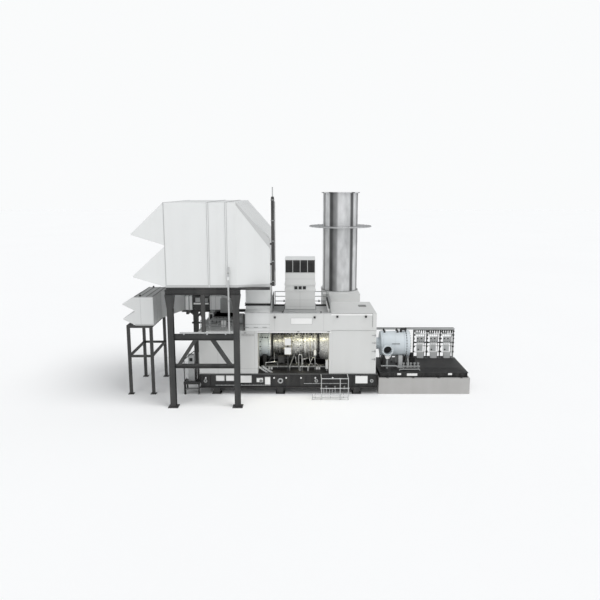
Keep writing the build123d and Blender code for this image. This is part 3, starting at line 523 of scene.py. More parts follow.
class PACKAGE_OT_finishes(bpy.types.Operator):
    """Make the finishes and paint the built pieces"""

    bl_idname = "package.finishes"
    bl_label = "Finishes"

    def execute(self, context):
        tone = context.scene.package_finish
        weathering_group()
        grain_group()
        for name in TREES:
            repeat_tree(name)
        grime = tone.grime
        soot = (0.05, 0.05, 0.05)
        even = (1.0, 1.0, 1.0)
        painted("panel_white", tone.panel, grime, 0.07, 0.35, 1.6, 0.42)
        painted("panel_box", tone.box, grime, 0.07, 0.35, 1.6, 0.42)
        painted("panel_shade", [0.72 * c for c in tone.panel], grime, 0.10, 0.4, 1.6, 0.45)
        painted("panel_seam", (0.22, 0.225, 0.225), grime, 0.3, 1.0, 2.0, 0.5)
        painted("seam_grey", (0.45, 0.455, 0.455), grime, 0.2, 1.0, 2.0, 0.5)
        painted("plate_white", (0.80, 0.80, 0.79), grime, 0.08, 1.5, 3.0, 0.4)
        # Painted light: the duct is lighter than its paint to offset the shade under the filter
        # house.
        painted("duct_grey", tone.duct, grime, 0.2, 0.5, 1.4, 0.45)
        painted("plain_grey", (0.46, 0.47, 0.47), grime, 0.2, 0.8, 2.0, 0.45)
        painted("rail_grey", (0.30, 0.31, 0.31), grime, 0.2, 0.8, 2.0, 0.4)
        painted("frame_charcoal", tone.steel, (0.10, 0.095, 0.09), 0.5, 0.7, 2.2, 0.42)
        painted("skid_black", tone.skid, (0.06, 0.057, 0.053), 0.5, 0.8, 2.5, 0.4)
        painted("joint_black", (0.012, 0.012, 0.012), soot, 0.4, 2.0, 3.0, 0.7)
        cast_face(*painted("plinth_concrete", tone.concrete, (0.28, 0.27, 0.25), 0.22, 0.9, 1.8,
                           0.8))
        painted("casing_blue", tone.casing, grime, 0.18, 1.2, 2.0, 0.32)
        painted("casing_pale", (0.62, 0.61, 0.56), grime, 0.15, 1.2, 2.0, 0.35)
        # Painted shade: near-black for the shaded insides of openings, holes and gaps.
        painted("dark_void", (0.010, 0.010, 0.011), (0.03, 0.03, 0.03), 0.4, 2.0, 3.0, 0.7)
        painted("cable_black", (0.016, 0.016, 0.017), soot, 0.4, 3.0, 3.0, 0.5)
        bare_metal("engine_bare", tone.engine, (2.0, 3.0, 3.0), 7.0, 0.75, 0.30, 0.5)
        bare_metal("engine_dark", (0.12, 0.115, 0.105), (1.0, 4.0, 4.0), 4.0, 0.5, 0.35)
        bare_metal("bolt_metal", (0.42, 0.42, 0.41), even, 8.0, 0.4, 0.3)
        bare_metal("bolt_dark", (0.10, 0.10, 0.10), even, 8.0, 0.4, 0.4)
        bare_metal("pipe_metal", (0.62, 0.62, 0.60), even, 5.0, 0.3, 0.22)
        bare_metal("brass_metal", (0.66, 0.60, 0.42), even, 5.0, 0.3, 0.28)
        bare_metal("ring_metal", (0.58, 0.585, 0.59), even, 1.6, 0.25, 0.35)
        sheet = bare_metal("stack_sheet", tone.stack, (1.6, 1.6, 0.6), 1.6, 0.3, 0.36, 0.3)
        # Painted reflections and sheet tones: bright and dark upright bands round the stack.
        stack_sheets_and_reflections(*sheet)
        glow = painted("lamp_glass", (0.9, 0.84, 0.62), grime, 0.05, 1.5, 2.0, 0.3)[1]
        glow.inputs["Emission Color"].default_value = (1.0, 0.95, 0.68, 1)
        glow.inputs["Emission Strength"].default_value = 34.0
        for finish, names in NODE_FINISH.items():
            for name in names.split():
                mesh = nodes[name].data
                mesh.materials.clear()
                mesh.materials.append(bpy.data.materials[finish])
                mesh.polygons.foreach_set("material_index", [0] * len(mesh.polygons))
        return {"FINISHED"}


class PACKAGE_OT_house_skin(bpy.types.Operator):
    """Dress the filter house: section seams, edge trims and hood drip edges"""

    bl_idname = "package.house_skin"
    bl_label = "House skin"

    def execute(self, context):
        sizes = context.scene.package_sizes
        make = Maker()
        x0, x1, y0, y1, z0, z1 = span("house_body")
        end = span("house_end")
        y0 += 0.02
        y1 -= 0.02
        z1 -= 0.02
        proud = 0.024
        edge = 0.012
        band = 0.16
        ridge = 11.1
        for x in (-5.85, -4.7):
            for side in (-0.045, 0.045):
                half = sizes.seam
                make.boxes(
                    SEAM, (x + side - half, x + side + half, y0 - proud, y0, z0, z1 + proud),
                    (x + side - half, x + side + half, y1, y1 + proud, z0, z1 + proud),
                    (x + side - half, x + side + half, y0, y1, z1, z1 + proud))
        make.boxes(SEAM, (x0, x0 + 0.05, y0 - edge, y0, z0, z1),
                   (x0, x0 + 0.05, y1, y1 + edge, z0, z1), (x0, x0 + 0.05, y0, y1, z1, z1 + edge))
        for y in (y0 - 0.014, y1):
            make.box(x0, x1, y, y + 0.014, z0, z0 + band, SHADE)
        taper = 0.6 / (end[1] - end[0])
        flank = -4.65

        def on_side(side, x, z):
            y = flank + taper * (x - end[0])
            return (x, -side * (y - 0.008), z)

        for side in (-1, 1):
            rim = (
                (end[0], end[5]), (end[1], ridge), (end[1], ridge - 0.62), (end[0], end[5] - band))
            foot = ((end[0], z0), (end[1], z0), (end[1], z0 + band), (end[0], z0 + band))
            for outline in (rim, foot):
                face = [on_side(side, x, z) for x, z in outline]
                back = [(p[0], p[1] - side * 0.02, p[2]) for p in face]
                make.add(face + back, sleeve(2, 4), SHADE)
        for k in range(1, 8):
            y = -3.9 + k * 0.975
            make.prism(
                [(end[0], end[5] + 0.004), (end[1] - 0.02, ridge + 0.026),
                 (end[1] - 0.02, ridge + 0.004), (end[0], end[5] - 0.02)], 1, y - sizes.seam,
                y + sizes.seam, SEAM)
        make.done("house_skin")
        return {"FINISHED"}


class PACKAGE_OT_hood_screens(bpy.types.Operator):
    """Set the droplet vanes and mesh frames under the weather hoods"""

    bl_idname = "package.hood_screens"
    bl_label = "Hood screens"

    def execute(self, context):
        make = Maker()
        pitch = 0.122
        lean = (0, 0, 0.5)
        wall = span("house_body")[0]
        wide = 4.5
        for low, high in ((10.82, 13.2), (8.14, 10.45)):
            middle, tall = (low + high) / 2, high - low
            # Near-black sheet behind the vanes: painted shade inside the filter house.
            make.box(wall - 0.03, wall, -4.45, 4.45, low, high, SHADE_BLACK)
            make.grow("bar_row", (72, (0, pitch, 0), (0.06, 0.012, tall - 0.1), lean),
                      (wall - 0.07, -4.33, middle), GREY)
            for z in (low, high - 0.1):
                make.box(wall - 0.14, wall, -wide, wide, z, z + 0.1, SHADE)
            make.grow("bar_row", (7, (0, 1.5, 0), (0.12, 0.09, tall - 0.2)),
                      (wall - 0.07, -wide, middle), SHADE)
        wall, _, near, far = span("vent_house")[:4]
        for low, high in ((6.05, 6.86), (5.04, 5.88)):
            # Near-black sheet behind the vanes: painted shade inside the vent filter.
            make.box(wall - 0.02, wall, near + 0.1, far - 0.1, low, high, SHADE_BLACK)
            make.grow("bar_row", (34, (0, pitch, 0), (0.05, 0.012, high - low - 0.08), lean),
                      (wall - 0.05, near + 0.14, (low + high) / 2), GREY)
            for z in (low, high - 0.06):
                make.box(wall - 0.09, wall, near + 0.07, far - 0.07, z, z + 0.06, SHADE)
        make.done("hood_screens")
        return {"FINISHED"}


class PACKAGE_OT_enclosure_trim(bpy.types.Operator):
    """Dress the enclosure: seams, door frames, hinges, a bare plate, roof deck and edges"""

    bl_idname = "package.enclosure_trim"
    bl_label = "Enclosure trim"

    def execute(self, context):
        sizes = context.scene.package_sizes
        make = Maker()
        inlet = span("inlet_box")
        fascia = span("front_fascia")
        out = span("exhaust_box")
        plenum = span("intake_duct")
        front = inlet[2]
        rear = inlet[3]
        half = sizes.seam / 2
        proud, lip = 0.006, 0.008
        for y in (front - proud, rear):
            for x in (-5.75, -4.13, -3.16):
                make.box(x - half, x + half, y, y + proud, inlet[4], inlet[5], SEAM)
            for z in (1.885, 4.42):
                make.box(inlet[0], inlet[1], y, y + proud, z, z + sizes.seam, SEAM)
        for y in (front - lip, rear):
            for z in (4.8, 5.06):
                make.box(plenum[0], plenum[1], y, y + lip, z, z + sizes.seam, DARK_SEAM)
        make.box(plenum[0] - 0.03, plenum[1] + 0.03, front - 0.03, rear + 0.03, 5.86, 5.9, SHADE)
        for x in (plenum[0] + 0.05, plenum[1] - 0.05):
            make.box(x - half, x + half, front - lip, front, 4.6, 5.86, SEAM)
        for z in (6.25, 6.38):
            make.box(plenum[0] - 0.06, plenum[1] + 0.06, -1.61, 1.61, z, z + 0.03, BLACK)
        make.rod((plenum[0], front + 0.02, 5.885), (out[0], front + 0.02, 5.885), 0.022, RAIL, 8)
        make.grow("bar_row", (7, (0.98, 0, 0), (0.03, 0.03, 0.07)),
                  (plenum[0] + 0.05, front + 0.02, 5.85), RAIL)
        make.box(inlet[1], out[0], front - 0.012, front, 4.46, 4.56, PLATE)
        make.box(inlet[1], out[0], front - 0.01, front, 4.565, 4.565 + sizes.seam, DARK_SEAM)
        for x in (-1.76, 1.64):
            make.box(x - half, x + half, front - proud, front, 4.6, fascia[5], SEAM)
        make.box(-0.64, 0.85, front - 0.016, front, 5.07, 5.52, SEAM)
        make.boxes(PLATE, (-0.62, 0.83, front - 0.022, front, 5.09, 5.5),
                   (out[0], out[1] - 0.29, front - 0.012, front + 0.02, out[5] - 0.13, out[5]))
        make.boxes(SHADE, (plenum[1], out[0], front + 0.1, rear, 5.55, 5.562),
                   (plenum[1], out[0], front - 0.01, front + 0.11, fascia[5], fascia[5] + 0.03))
        make.boxes(DARK_SEAM,
                   (out[0], out[1] - 0.28, front - 0.016, front + 0.03, out[5], out[5] + 0.022),
                   (out[1] - 0.3, out[1] - 0.27, front - 0.014, front, 4.86, out[5]),
                   (out[0], out[1], front - lip, front, 4.622, 4.622 + sizes.seam))
        for z in (4.26, 3.72, 3.12, 2.55):
            make.box(out[1] - 0.3, out[1] - 0.02, front - 0.03, front, z, z + 0.03, RAIL)
            make.post((out[1] - 0.09, front - 0.03, z - 0.06), z + 0.09, 0.022, RAIL, 8)
        make.box(4.3, 4.84, 0.25, 0.75, out[5], out[5] + 0.05, DARK_SEAM)
        make.grow(
            "bar_row", (8, (0.066, 0, 0), (0.02, 0.46, 0.03)), (4.34, 0.5, out[5] + 0.06), RAIL)
        for x in (out[0] + 0.07, out[1] - 0.14):
            make.grow("head_row", (22, (0, 0.138, 0), sizes.rivet, 0.012),
                      (x, front - 0.004, 1.63), BOLT, FRONTWARD)
        make.grow("head_grid", (9, 2, 0.8, 0.07, sizes.bolt, 0.03), (-3.62, front - 0.01, 4.3),
                  BOLT, FRONTWARD)
        for x in (2.7, 3.7, 4.7):
            make.box(x - half, x + half, out[3], out[3] + proud, out[4], out[5], SEAM)
        for y in (-1.2, 0.0, 1.2):
            make.boxes(SEAM, (out[1], out[1] + proud, y - half, y + half, out[4], out[5]),
                       (inlet[0] - proud, inlet[0], y - half, y + half, inlet[4], inlet[5]))
        for z in (2.6, 3.9):
            make.box(out[1], out[1] + proud, front, rear, z, z + sizes.seam, SEAM)
        make.done("enclosure_trim")
        return {"FINISHED"}


class PACKAGE_OT_lifting_lugs(bpy.types.Operator):
    """Set the lifting lugs and latches on the enclosure"""

    bl_idname = "package.lifting_lugs"
    bl_label = "Lifting lugs"

    def execute(self, context):
        lug = context.scene.package_sizes.lug
        make = Maker()
        front = span("inlet_box")[2]
        rear = span("inlet_box")[3]
        for side, y in ((-1, front), (1, rear)):
            for x, z in ((-1.74, 5.54), (1.01, 5.54), (2.58, 5.59), (4.55, 5.59)):
                make.box(x - lug / 2, x + lug / 2, y, y + side * 0.05, z - 0.05, z + 0.09, STEEL)
                make.collar((x, y + side * 0.09, z + 0.02), ALONG, 0.03, 0.07, 0.03, STEEL, 16)
            for x, z in ((-1.21, 5.82), (1.45, 5.82)):
                make.prism(
                    [(x - lug / 2, z), (x + lug / 2, z), (x + lug / 4, z + 0.16),
                     (x - lug / 4, z + 0.16)], 1, y - 0.03 - side * 0.03, y + 0.03 - side * 0.03,
                    STEEL)
        for x, z in ((-3.9, 4.43), (-2.2, 4.43), (-0.2, 4.52), (1.9, 4.52)):
            make.box(x, x + 0.16, front - 0.05, front, z, z + 0.05, RAIL)
        for x, z in ((-3.85, 4.86), (-3.2, 4.86), (-2.6, 4.86)):
            make.rod((x, front - 0.05, z), (x + 0.3, front - 0.05, z), 0.018, RAIL, 8)
            for k in (0.02, 0.28):
                make.rod((x + k, front - 0.05, z), (x + k, front, z), 0.015, RAIL, 6)
        make.done("lifting_lugs", smooth=True)
        return {"FINISHED"}


class PACKAGE_OT_tower_dress(bpy.types.Operator):
    """Dress the roof outlet: louvre slats, small windows, seams and flashing"""

    bl_idname = "package.tower_dress"
    bl_label = "Roof outlet"

    def execute(self, context):
        sizes = context.scene.package_sizes
        make = Maker()
        grille = span("tower_louvres")
        tower = span("vent_tower")
        lip, proud, mullion = 0.045, 0.006, 0.035
        levels = (6.05, 6.51, 8.02, 8.44)
        x0, x1 = tower[0] + lip, tower[1] - lip
        y0, y1 = tower[2] + lip, tower[3] - lip
        count = int((grille[5] - grille[4] - 0.06) / sizes.slat)
        bay = (x1 - x0 - 5 * mullion) / 4
        for i in range(4):
            middle = x0 + mullion + bay / 2 + i * (bay + mullion)
            for y, tilt in ((y0 + 0.03, 0.75), (y1 - 0.03, -0.75)):
                make.grow("bar_row",
                          (count, (0, 0, sizes.slat), (bay - 0.004, 0.075, 0.01), (tilt, 0, 0)),
                          (middle, y, grille[4] + 0.06), BLACK)
        for i in range(5):
            x = x0 + mullion / 2 + i * (bay + mullion)
            for y in (y0 - proud, y1):
                make.box(x - 0.018, x + 0.018, y, y + proud, 8.46, tower[5], SHADE)
        make.box(
            x0 - 0.02, x1 + 0.02, y0 - 0.02, y1 + 0.02, tower[5] - 0.004, tower[5] + 0.012, WHITE)
        half = sizes.seam / 2
        for y in (y0 - proud, y1):
            make.box(-half, half, y, y + proud, tower[4], 7.16, SEAM)
            for z in levels:
                make.box(x0, x1, y, y + proud, z, z + sizes.seam, SEAM)
        for x in (x0 - proud, x1):
            for z in levels:
                make.box(x, x + proud, y0, y1, z, z + sizes.seam, SEAM)
        # Small windows: frames, and near-black panes that are painted shade for the inside.
        for k in range(3):
            x = -0.4 + 0.3 * k
            make.box(x - 0.02, x + 0.24, y0 - 0.02, y0, 7.265, 7.525, SHADE)
            make.box(x, x + 0.22, y0 - 0.026, y0, 7.285, 7.505, SHADE_BLACK)
        make.box(x0 - 0.08, x1 + 0.08, y0 - 0.1, y1 + 0.1, tower[4], tower[4] + 0.28, SHADE)
        make.box(
            x0 - 0.09, x1 + 0.09, y0 - 0.11, y1 + 0.11, tower[4] + 0.28, tower[4] + 0.32, RAIL)
        for z in (7.2, 7.61):
            make.grow("head_row", (15, ((x1 - x0 - 0.1) / 14, 0, 0), sizes.rivet, 0.02),
                      (x0 + 0.05, y0 - lip - 0.004, z), BOLT, FRONTWARD)
        make.done("tower_dress")
        return {"FINISHED"}


class PACKAGE_OT_roof_fittings(bpy.types.Operator):
    """Set the roof pipes, junction boxes and the low rail over the inlet end"""

    bl_idname = "package.roof_fittings"
    bl_label = "Roof fittings"

    def execute(self, context):
        make = Maker()
        inlet = span("inlet_box")
        top = inlet[5]
        guard = -2.12
        chest = span("roof_chest")
        make.box(inlet[0] + 0.08, -3.95, -1.15, inlet[3] - 0.06, top, top + 0.012, SHADE)
        for x in (-6.9, -6.25, -5.3, -4.35):
            make.post((x, guard, top), top + 0.74, 0.022, RAIL, 8)
        for z in (top + 0.37, top + 0.72):
            make.rod((-6.9, guard, z), (-4.35, guard, z), 0.02, RAIL, 8)
        make.box(-6.7, -6.35, 0.3, 1.3, top, top + 0.75, GREY)
        # Near-black opening on the box's face: painted shade.
        make.box(-6.62, -6.42, 0.28, 0.3, top + 0.1, top + 0.65, SHADE_BLACK)
        make.box(chest[0] - 0.05, chest[1] + 0.05, chest[2] - 0.05, chest[3] - 0.05,
                 chest[5] - 0.06, chest[5], STEEL)
        for k in range(6):
            x = chest[0] + 0.15 + k * 0.26
            make.box(x, x + 0.05, chest[2] - 0.04, chest[2], chest[4], chest[5] - 0.06, STEEL)
        make.box(-4.62, -4.15, -0.2, 0.9, top, top + 0.6, RAIL)
        make.box(-4.55, -4.2, -0.24, -0.2, top + 0.12, top + 0.5, GREY)
        make.arch(-6.5, -4.9, 0.1, top, top + 0.34, 0.06, RAIL, 10, 0.12)
        make.arch(-5.9, -4.4, -0.7, top, top + 0.22, 0.045, GREY, 10, 0.1)
        make.box(-5.62, -5.28, -1.02, -0.72, top, top + 0.42, PLATE)
        make.box(-3.93, -3.81, -2.2, -1.95, 4.62, 5.75, STEEL)
        roof = 5.562
        make.arch(-1.7, 1.9, -1.6, roof, roof + 0.16, 0.05, RAIL, 10, 0.1)
        make.arch(-1.7, 1.9, -1.3, roof, roof + 0.12, 0.035, STEEL, 8, 0.08)
        for x0, x1 in ((-1.95, -1.15), (1.17, 2.08)):
            make.box(x0, x1, 1.85, 2.05, roof, roof + 0.11, STEEL)
        make.grow(
            "bar_row", (14, (0, 0.29, 0), (0.09, 0.1, 0.15)), (2.03, -1.95, roof + 0.62), STEEL)
        make.grow("bar_row", (10, (0, 0.4, 0), (0.1, 0.16, 0.1)), (2.0, -1.85, roof + 0.36), PLATE)
        make.box(1.95, 2.08, -2.0, 2.05, roof + 0.22, roof + 0.27, RAIL)
        for x in (-1.2, -0.3, 0.6, 1.5):
            make.box(x, x + 0.05, -1.68, -1.22, roof, roof + 0.1, STEEL)
        make.done("roof_fittings", smooth=True)
        return {"FINISHED"}


# Outlines of the engine's casings: place along the shaft, and radius.
INTAKE = [(-2.95, 0.98), (-2.79, 0.98), (-2.79, 0.9), (-2.74, 0.9), (-2.74, 0.915), (-2.7, 0.915),
          (-2.7, 0.9), (-2.3, 0.9), (-2.3, 0.915), (-2.27, 0.915), (-2.25, 0.98), (-2.17, 0.98)]
CASINGS = (
    [(-2.17, 0.98), (-2.09, 0.98), (-2.09, 0.93), (-2.06, 0.68), (-1.95, 0.66), (-1.92, 0.7),
     (-1.88, 0.7), (-1.86, 0.652), (-1.72, 0.648), (-1.7, 0.69), (-1.66, 0.69), (-1.64, 0.64),
     (-1.495, 0.625), (-1.495, 0.73), (-1.415, 0.73), (-1.415, 0.625), (-1.28, 0.64),
     (-1.26, 0.69), (-1.22, 0.69), (-1.2, 0.65), (-1.06, 0.656), (-1.04, 0.7), (-1.0, 0.7),
     (-0.98, 0.655), (-0.9, 0.66), (-0.9, 0.86), (-0.82, 0.86)],
    [(-0.82, 0.86), (-0.74, 0.86), (-0.74, 0.9), (-0.58, 0.98), (-0.5, 0.98), (-0.5, 0.965),
     (-0.4, 0.965), (-0.4, 0.98), (-0.02, 0.98), (-0.02, 0.965), (0.03, 0.965), (0.03, 0.98),
     (0.3, 0.98), (0.3, 1.06), (0.38, 1.06)],
    [(0.38, 1.06), (0.46, 1.06), (0.46, 0.965), (0.6, 0.972), (0.6, 1.01), (0.65, 1.01),
     (0.65, 0.975), (0.82, 0.985), (0.82, 1.03), (0.87, 1.03), (0.87, 0.988), (1.0, 0.998),
     (1.0, 1.08), (1.08, 1.08)],
    [(1.08, 1.08), (1.16, 1.08), (1.16, 1.0), (1.3, 1.035), (1.5, 1.09), (1.7, 1.16),
     (1.88, 1.235), (2.03, 1.3)])


class PACKAGE_OT_engine_casings(bpy.types.Operator):
    """Turn the engine casings smoothly, with flanges, ribs and split lines"""

    bl_idname = "package.engine_casings"
    bl_label = "Engine casings"

    def execute(self, context):
        axis = (0.0, SHAFT)
        make = Maker()
        make.lathe(INTAKE, 0, axis, BLUE, ROUND)
        make.done("intake_drum", smooth=True)
        make = Maker()
        for outline in CASINGS:
            make.lathe(outline, 0, axis, BARE, ROUND)
        for i in range(10):
            t = math.radians(36 * i + 12)
            far = about_shaft(-0.8, 1.06, t)
            make.rod(about_shaft(-0.62, 0.9, t), far, 0.075, BARE, 14)
            make.rod(far, about_shaft(-0.86, 1.11, t), 0.1, DARK, 14)
        for x0, x1, r in ((-2.06, -0.9, 0.7), (-0.58, 0.3, 1.01), (0.46, 1.0, 1.01)):
            for side in (-1, 1):
                make.box(x0, x1, side * (r - 0.1), side * r, SHAFT - 0.035, SHAFT + 0.035, BARE)
        piece = make.done("engine_body", smooth=True)
        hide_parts("intake_casing")
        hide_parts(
            "compressor_casing", "combustor_casing", "turbine_casing", "exhaust_cone")
        return {"FINISHED"}


class PACKAGE_OT_engine_bolts(bpy.types.Operator):
    """Bolt the engine's flanges"""

    bl_idname = "package.engine_bolts"
    bl_label = "Engine bolts"

    def execute(self, context):
        head = context.scene.package_sizes.bolt
        make = Maker()
        rings = ((-2.79, 0.945, 36, 1), (-2.25, 0.945, 36, -1), (-2.09, 0.955, 40, 1),
                 (-0.9, 0.82, 36, -1), (0.3, 1.025, 48, -1), (0.46, 1.02, 48, 1),
                 (1.0, 1.045, 48, -1), (1.16, 1.045, 48, 1), (-1.415, 0.69, 32, 1))
        for x, radius, count, side in rings:
            make.grow("head_ring", (count, radius, head * 0.8, 0.05), (x + side * 0.02, 0, SHAFT),
                      BOLT, (side, 0, 0))
        for y in (-1, 1):
            for x0, x1, r, count in (
                    (-2.0, -0.95, 0.69, 16), (-0.5, 0.25, 0.99, 12), (0.5, 0.96, 0.99, 8)):
                make.grow("head_row", (count, ((x1 - x0) / (count - 1), 0, 0), head * 0.6, 0.03),
                          (x0, y * r, SHAFT + 0.045), BOLT)
        make.grow("head_ring", (20, 0.9, head * 0.7, 0.04), (-2.93, 0, SHAFT), BOLT, ALONG)
        make.done("engine_bolts")
        return {"FINISHED"}


# Steps in a pipe's turn round the engine.
HOOP_STEPS = 40


def hoop(make, x, radius, tube, finish):
    """Pipe bent round the engine at one place along the shaft."""
    turns = [math.radians(360 * k / HOOP_STEPS) for k in range(HOOP_STEPS + 1)]
    make.pipe([about_shaft(x, radius, t) for t in turns], tube, finish, 6)


class PACKAGE_OT_engine_pipes(bpy.types.Operator):
    """Run the fuel, oil and bleed pipes over the engine"""

    bl_idname = "package.engine_pipes"
    bl_label = "Engine pipes"

    def execute(self, context):
        tube = context.scene.package_sizes.pipe
        make = Maker()
        for x, r, size, finish in (
                (-0.68, 1.1, 1.2, PIPE), (-0.6, 1.07, 0.8, BRASS), (0.1, 1.04, 0.9, PIPE),
                (0.22, 1.05, 0.7, DARK), (0.54, 1.08, 1.0, PIPE), (0.73, 1.09, 0.8, BRASS),
                (0.93, 1.11, 1.1, PIPE), (1.24, 1.12, 1.0, DARK), (-1.78, 0.76, 0.8, PIPE),
                (-1.33, 0.78, 1.0, PIPE), (-1.13, 0.77, 0.7, BRASS)):
            hoop(make, x, r, tube * size, finish)
        for i in range(20):
            t = math.radians(18 * i + 4)
            make.rod(about_shaft(-0.68, 1.1, t), about_shaft(-0.42, 1.0, t), tube * 0.6, PIPE, 6)
        for i in range(12):
            t = math.radians(30 * i + 9)
            make.pipe(
                [about_shaft(0.54, 1.08, t), about_shaft(0.6, 1.14, t + 0.06),
                 about_shaft(0.88, 1.14, t + 0.06), about_shaft(0.93, 1.11, t)], tube * 0.55, PIPE,
                6, 0.05)
            make.pipe(
                [about_shaft(-1.33, 0.78, t), about_shaft(-1.2, 0.84, t + 0.1),
                 about_shaft(-0.9, 0.92, t + 0.1), about_shaft(-0.68, 1.1, t)], tube * 0.5,
                DARK if i % 3 else BRASS, 6, 0.06)
        studs = 26
        rows = ((-1.8, 0.66), (-1.55, 0.64), (-1.32, 0.64), (-1.12, 0.66), (-0.48, 0.98),
                (-0.3, 0.98), (-0.14, 0.98), (0.06, 0.98), (0.18, 0.98), (0.53, 0.97),
                (0.75, 0.98), (0.94, 0.99), (1.24, 1.02), (1.42, 1.07))
        for k, (x, r) in enumerate(rows):
            for i in range(studs):
                t = math.radians(360 / studs * (i + 0.37 * k))
                tall = (0.05, 0.09, 0.03, 0.07)[(i * 3 + k) % 4]
                wide = (0.022, 0.034, 0.018, 0.042, 0.028)[(i + 2 * k) % 5]
                along = x + 0.03 * ((i * 5 + k) % 3 - 1)
                make.rod(about_shaft(along, r - 0.01, t), about_shaft(along, r + tall, t), wide,
                         (DARK, PIPE, CABLE, PLATE, DARK)[(i + k) % 5], 7)
        drops = ((-1.9, 2.72, 1.1), (-1.62, 2.66, 0.8), (-0.35, 2.42, 1.2), (-0.12, 2.4, 0.7),
                 (0.33, 2.38, 1.0), (0.66, 2.36, 1.3), (1.02, 2.34, 0.9))
        for side in (-1, 1):
            for k, (x, z, r) in enumerate(drops):
                y = side * (0.8 if x < -0.8 else 1.05)
                foot = side * (1.0 + 0.035 * k)
                make.pipe(
                    [(x, y, z), (x + 0.05, foot, z - 0.16), (x + 0.07, foot, 1.98),
                     (x + 0.3, foot, 1.86), (x + 0.3, foot, 1.67)], tube * r,
                    DARK if k % 3 == 1 else PIPE, 8, 0.1)
            make.pipe([(-2.6, side * 1.2, 1.86), (1.75, side * 1.2, 1.86)], tube * 1.4, DARK, 8)
            make.pipe([(-2.4, side * 1.32, 1.78), (1.6, side * 1.32, 1.78)], tube, PIPE, 8)
            make.pipe(
                [(-2.5, side * 1.12, 2.02), (-1.2, side * 1.12, 2.02), (-1.0, side * 1.12, 1.92),
                 (1.3, side * 1.12, 1.92)], tube * 0.9, CABLE, 8, 0.08)
            make.pipe(
                [(-2.3, side * 1.3, 1.67), (-2.2, side * 1.3, 2.2), (-1.85, side * 0.95, 2.42),
                 (-1.8, side * 0.7, 2.6)], tube * 1.5, CABLE, 8, 0.15)
        make.done("engine_pipes", smooth=True)
        return {"FINISHED"}


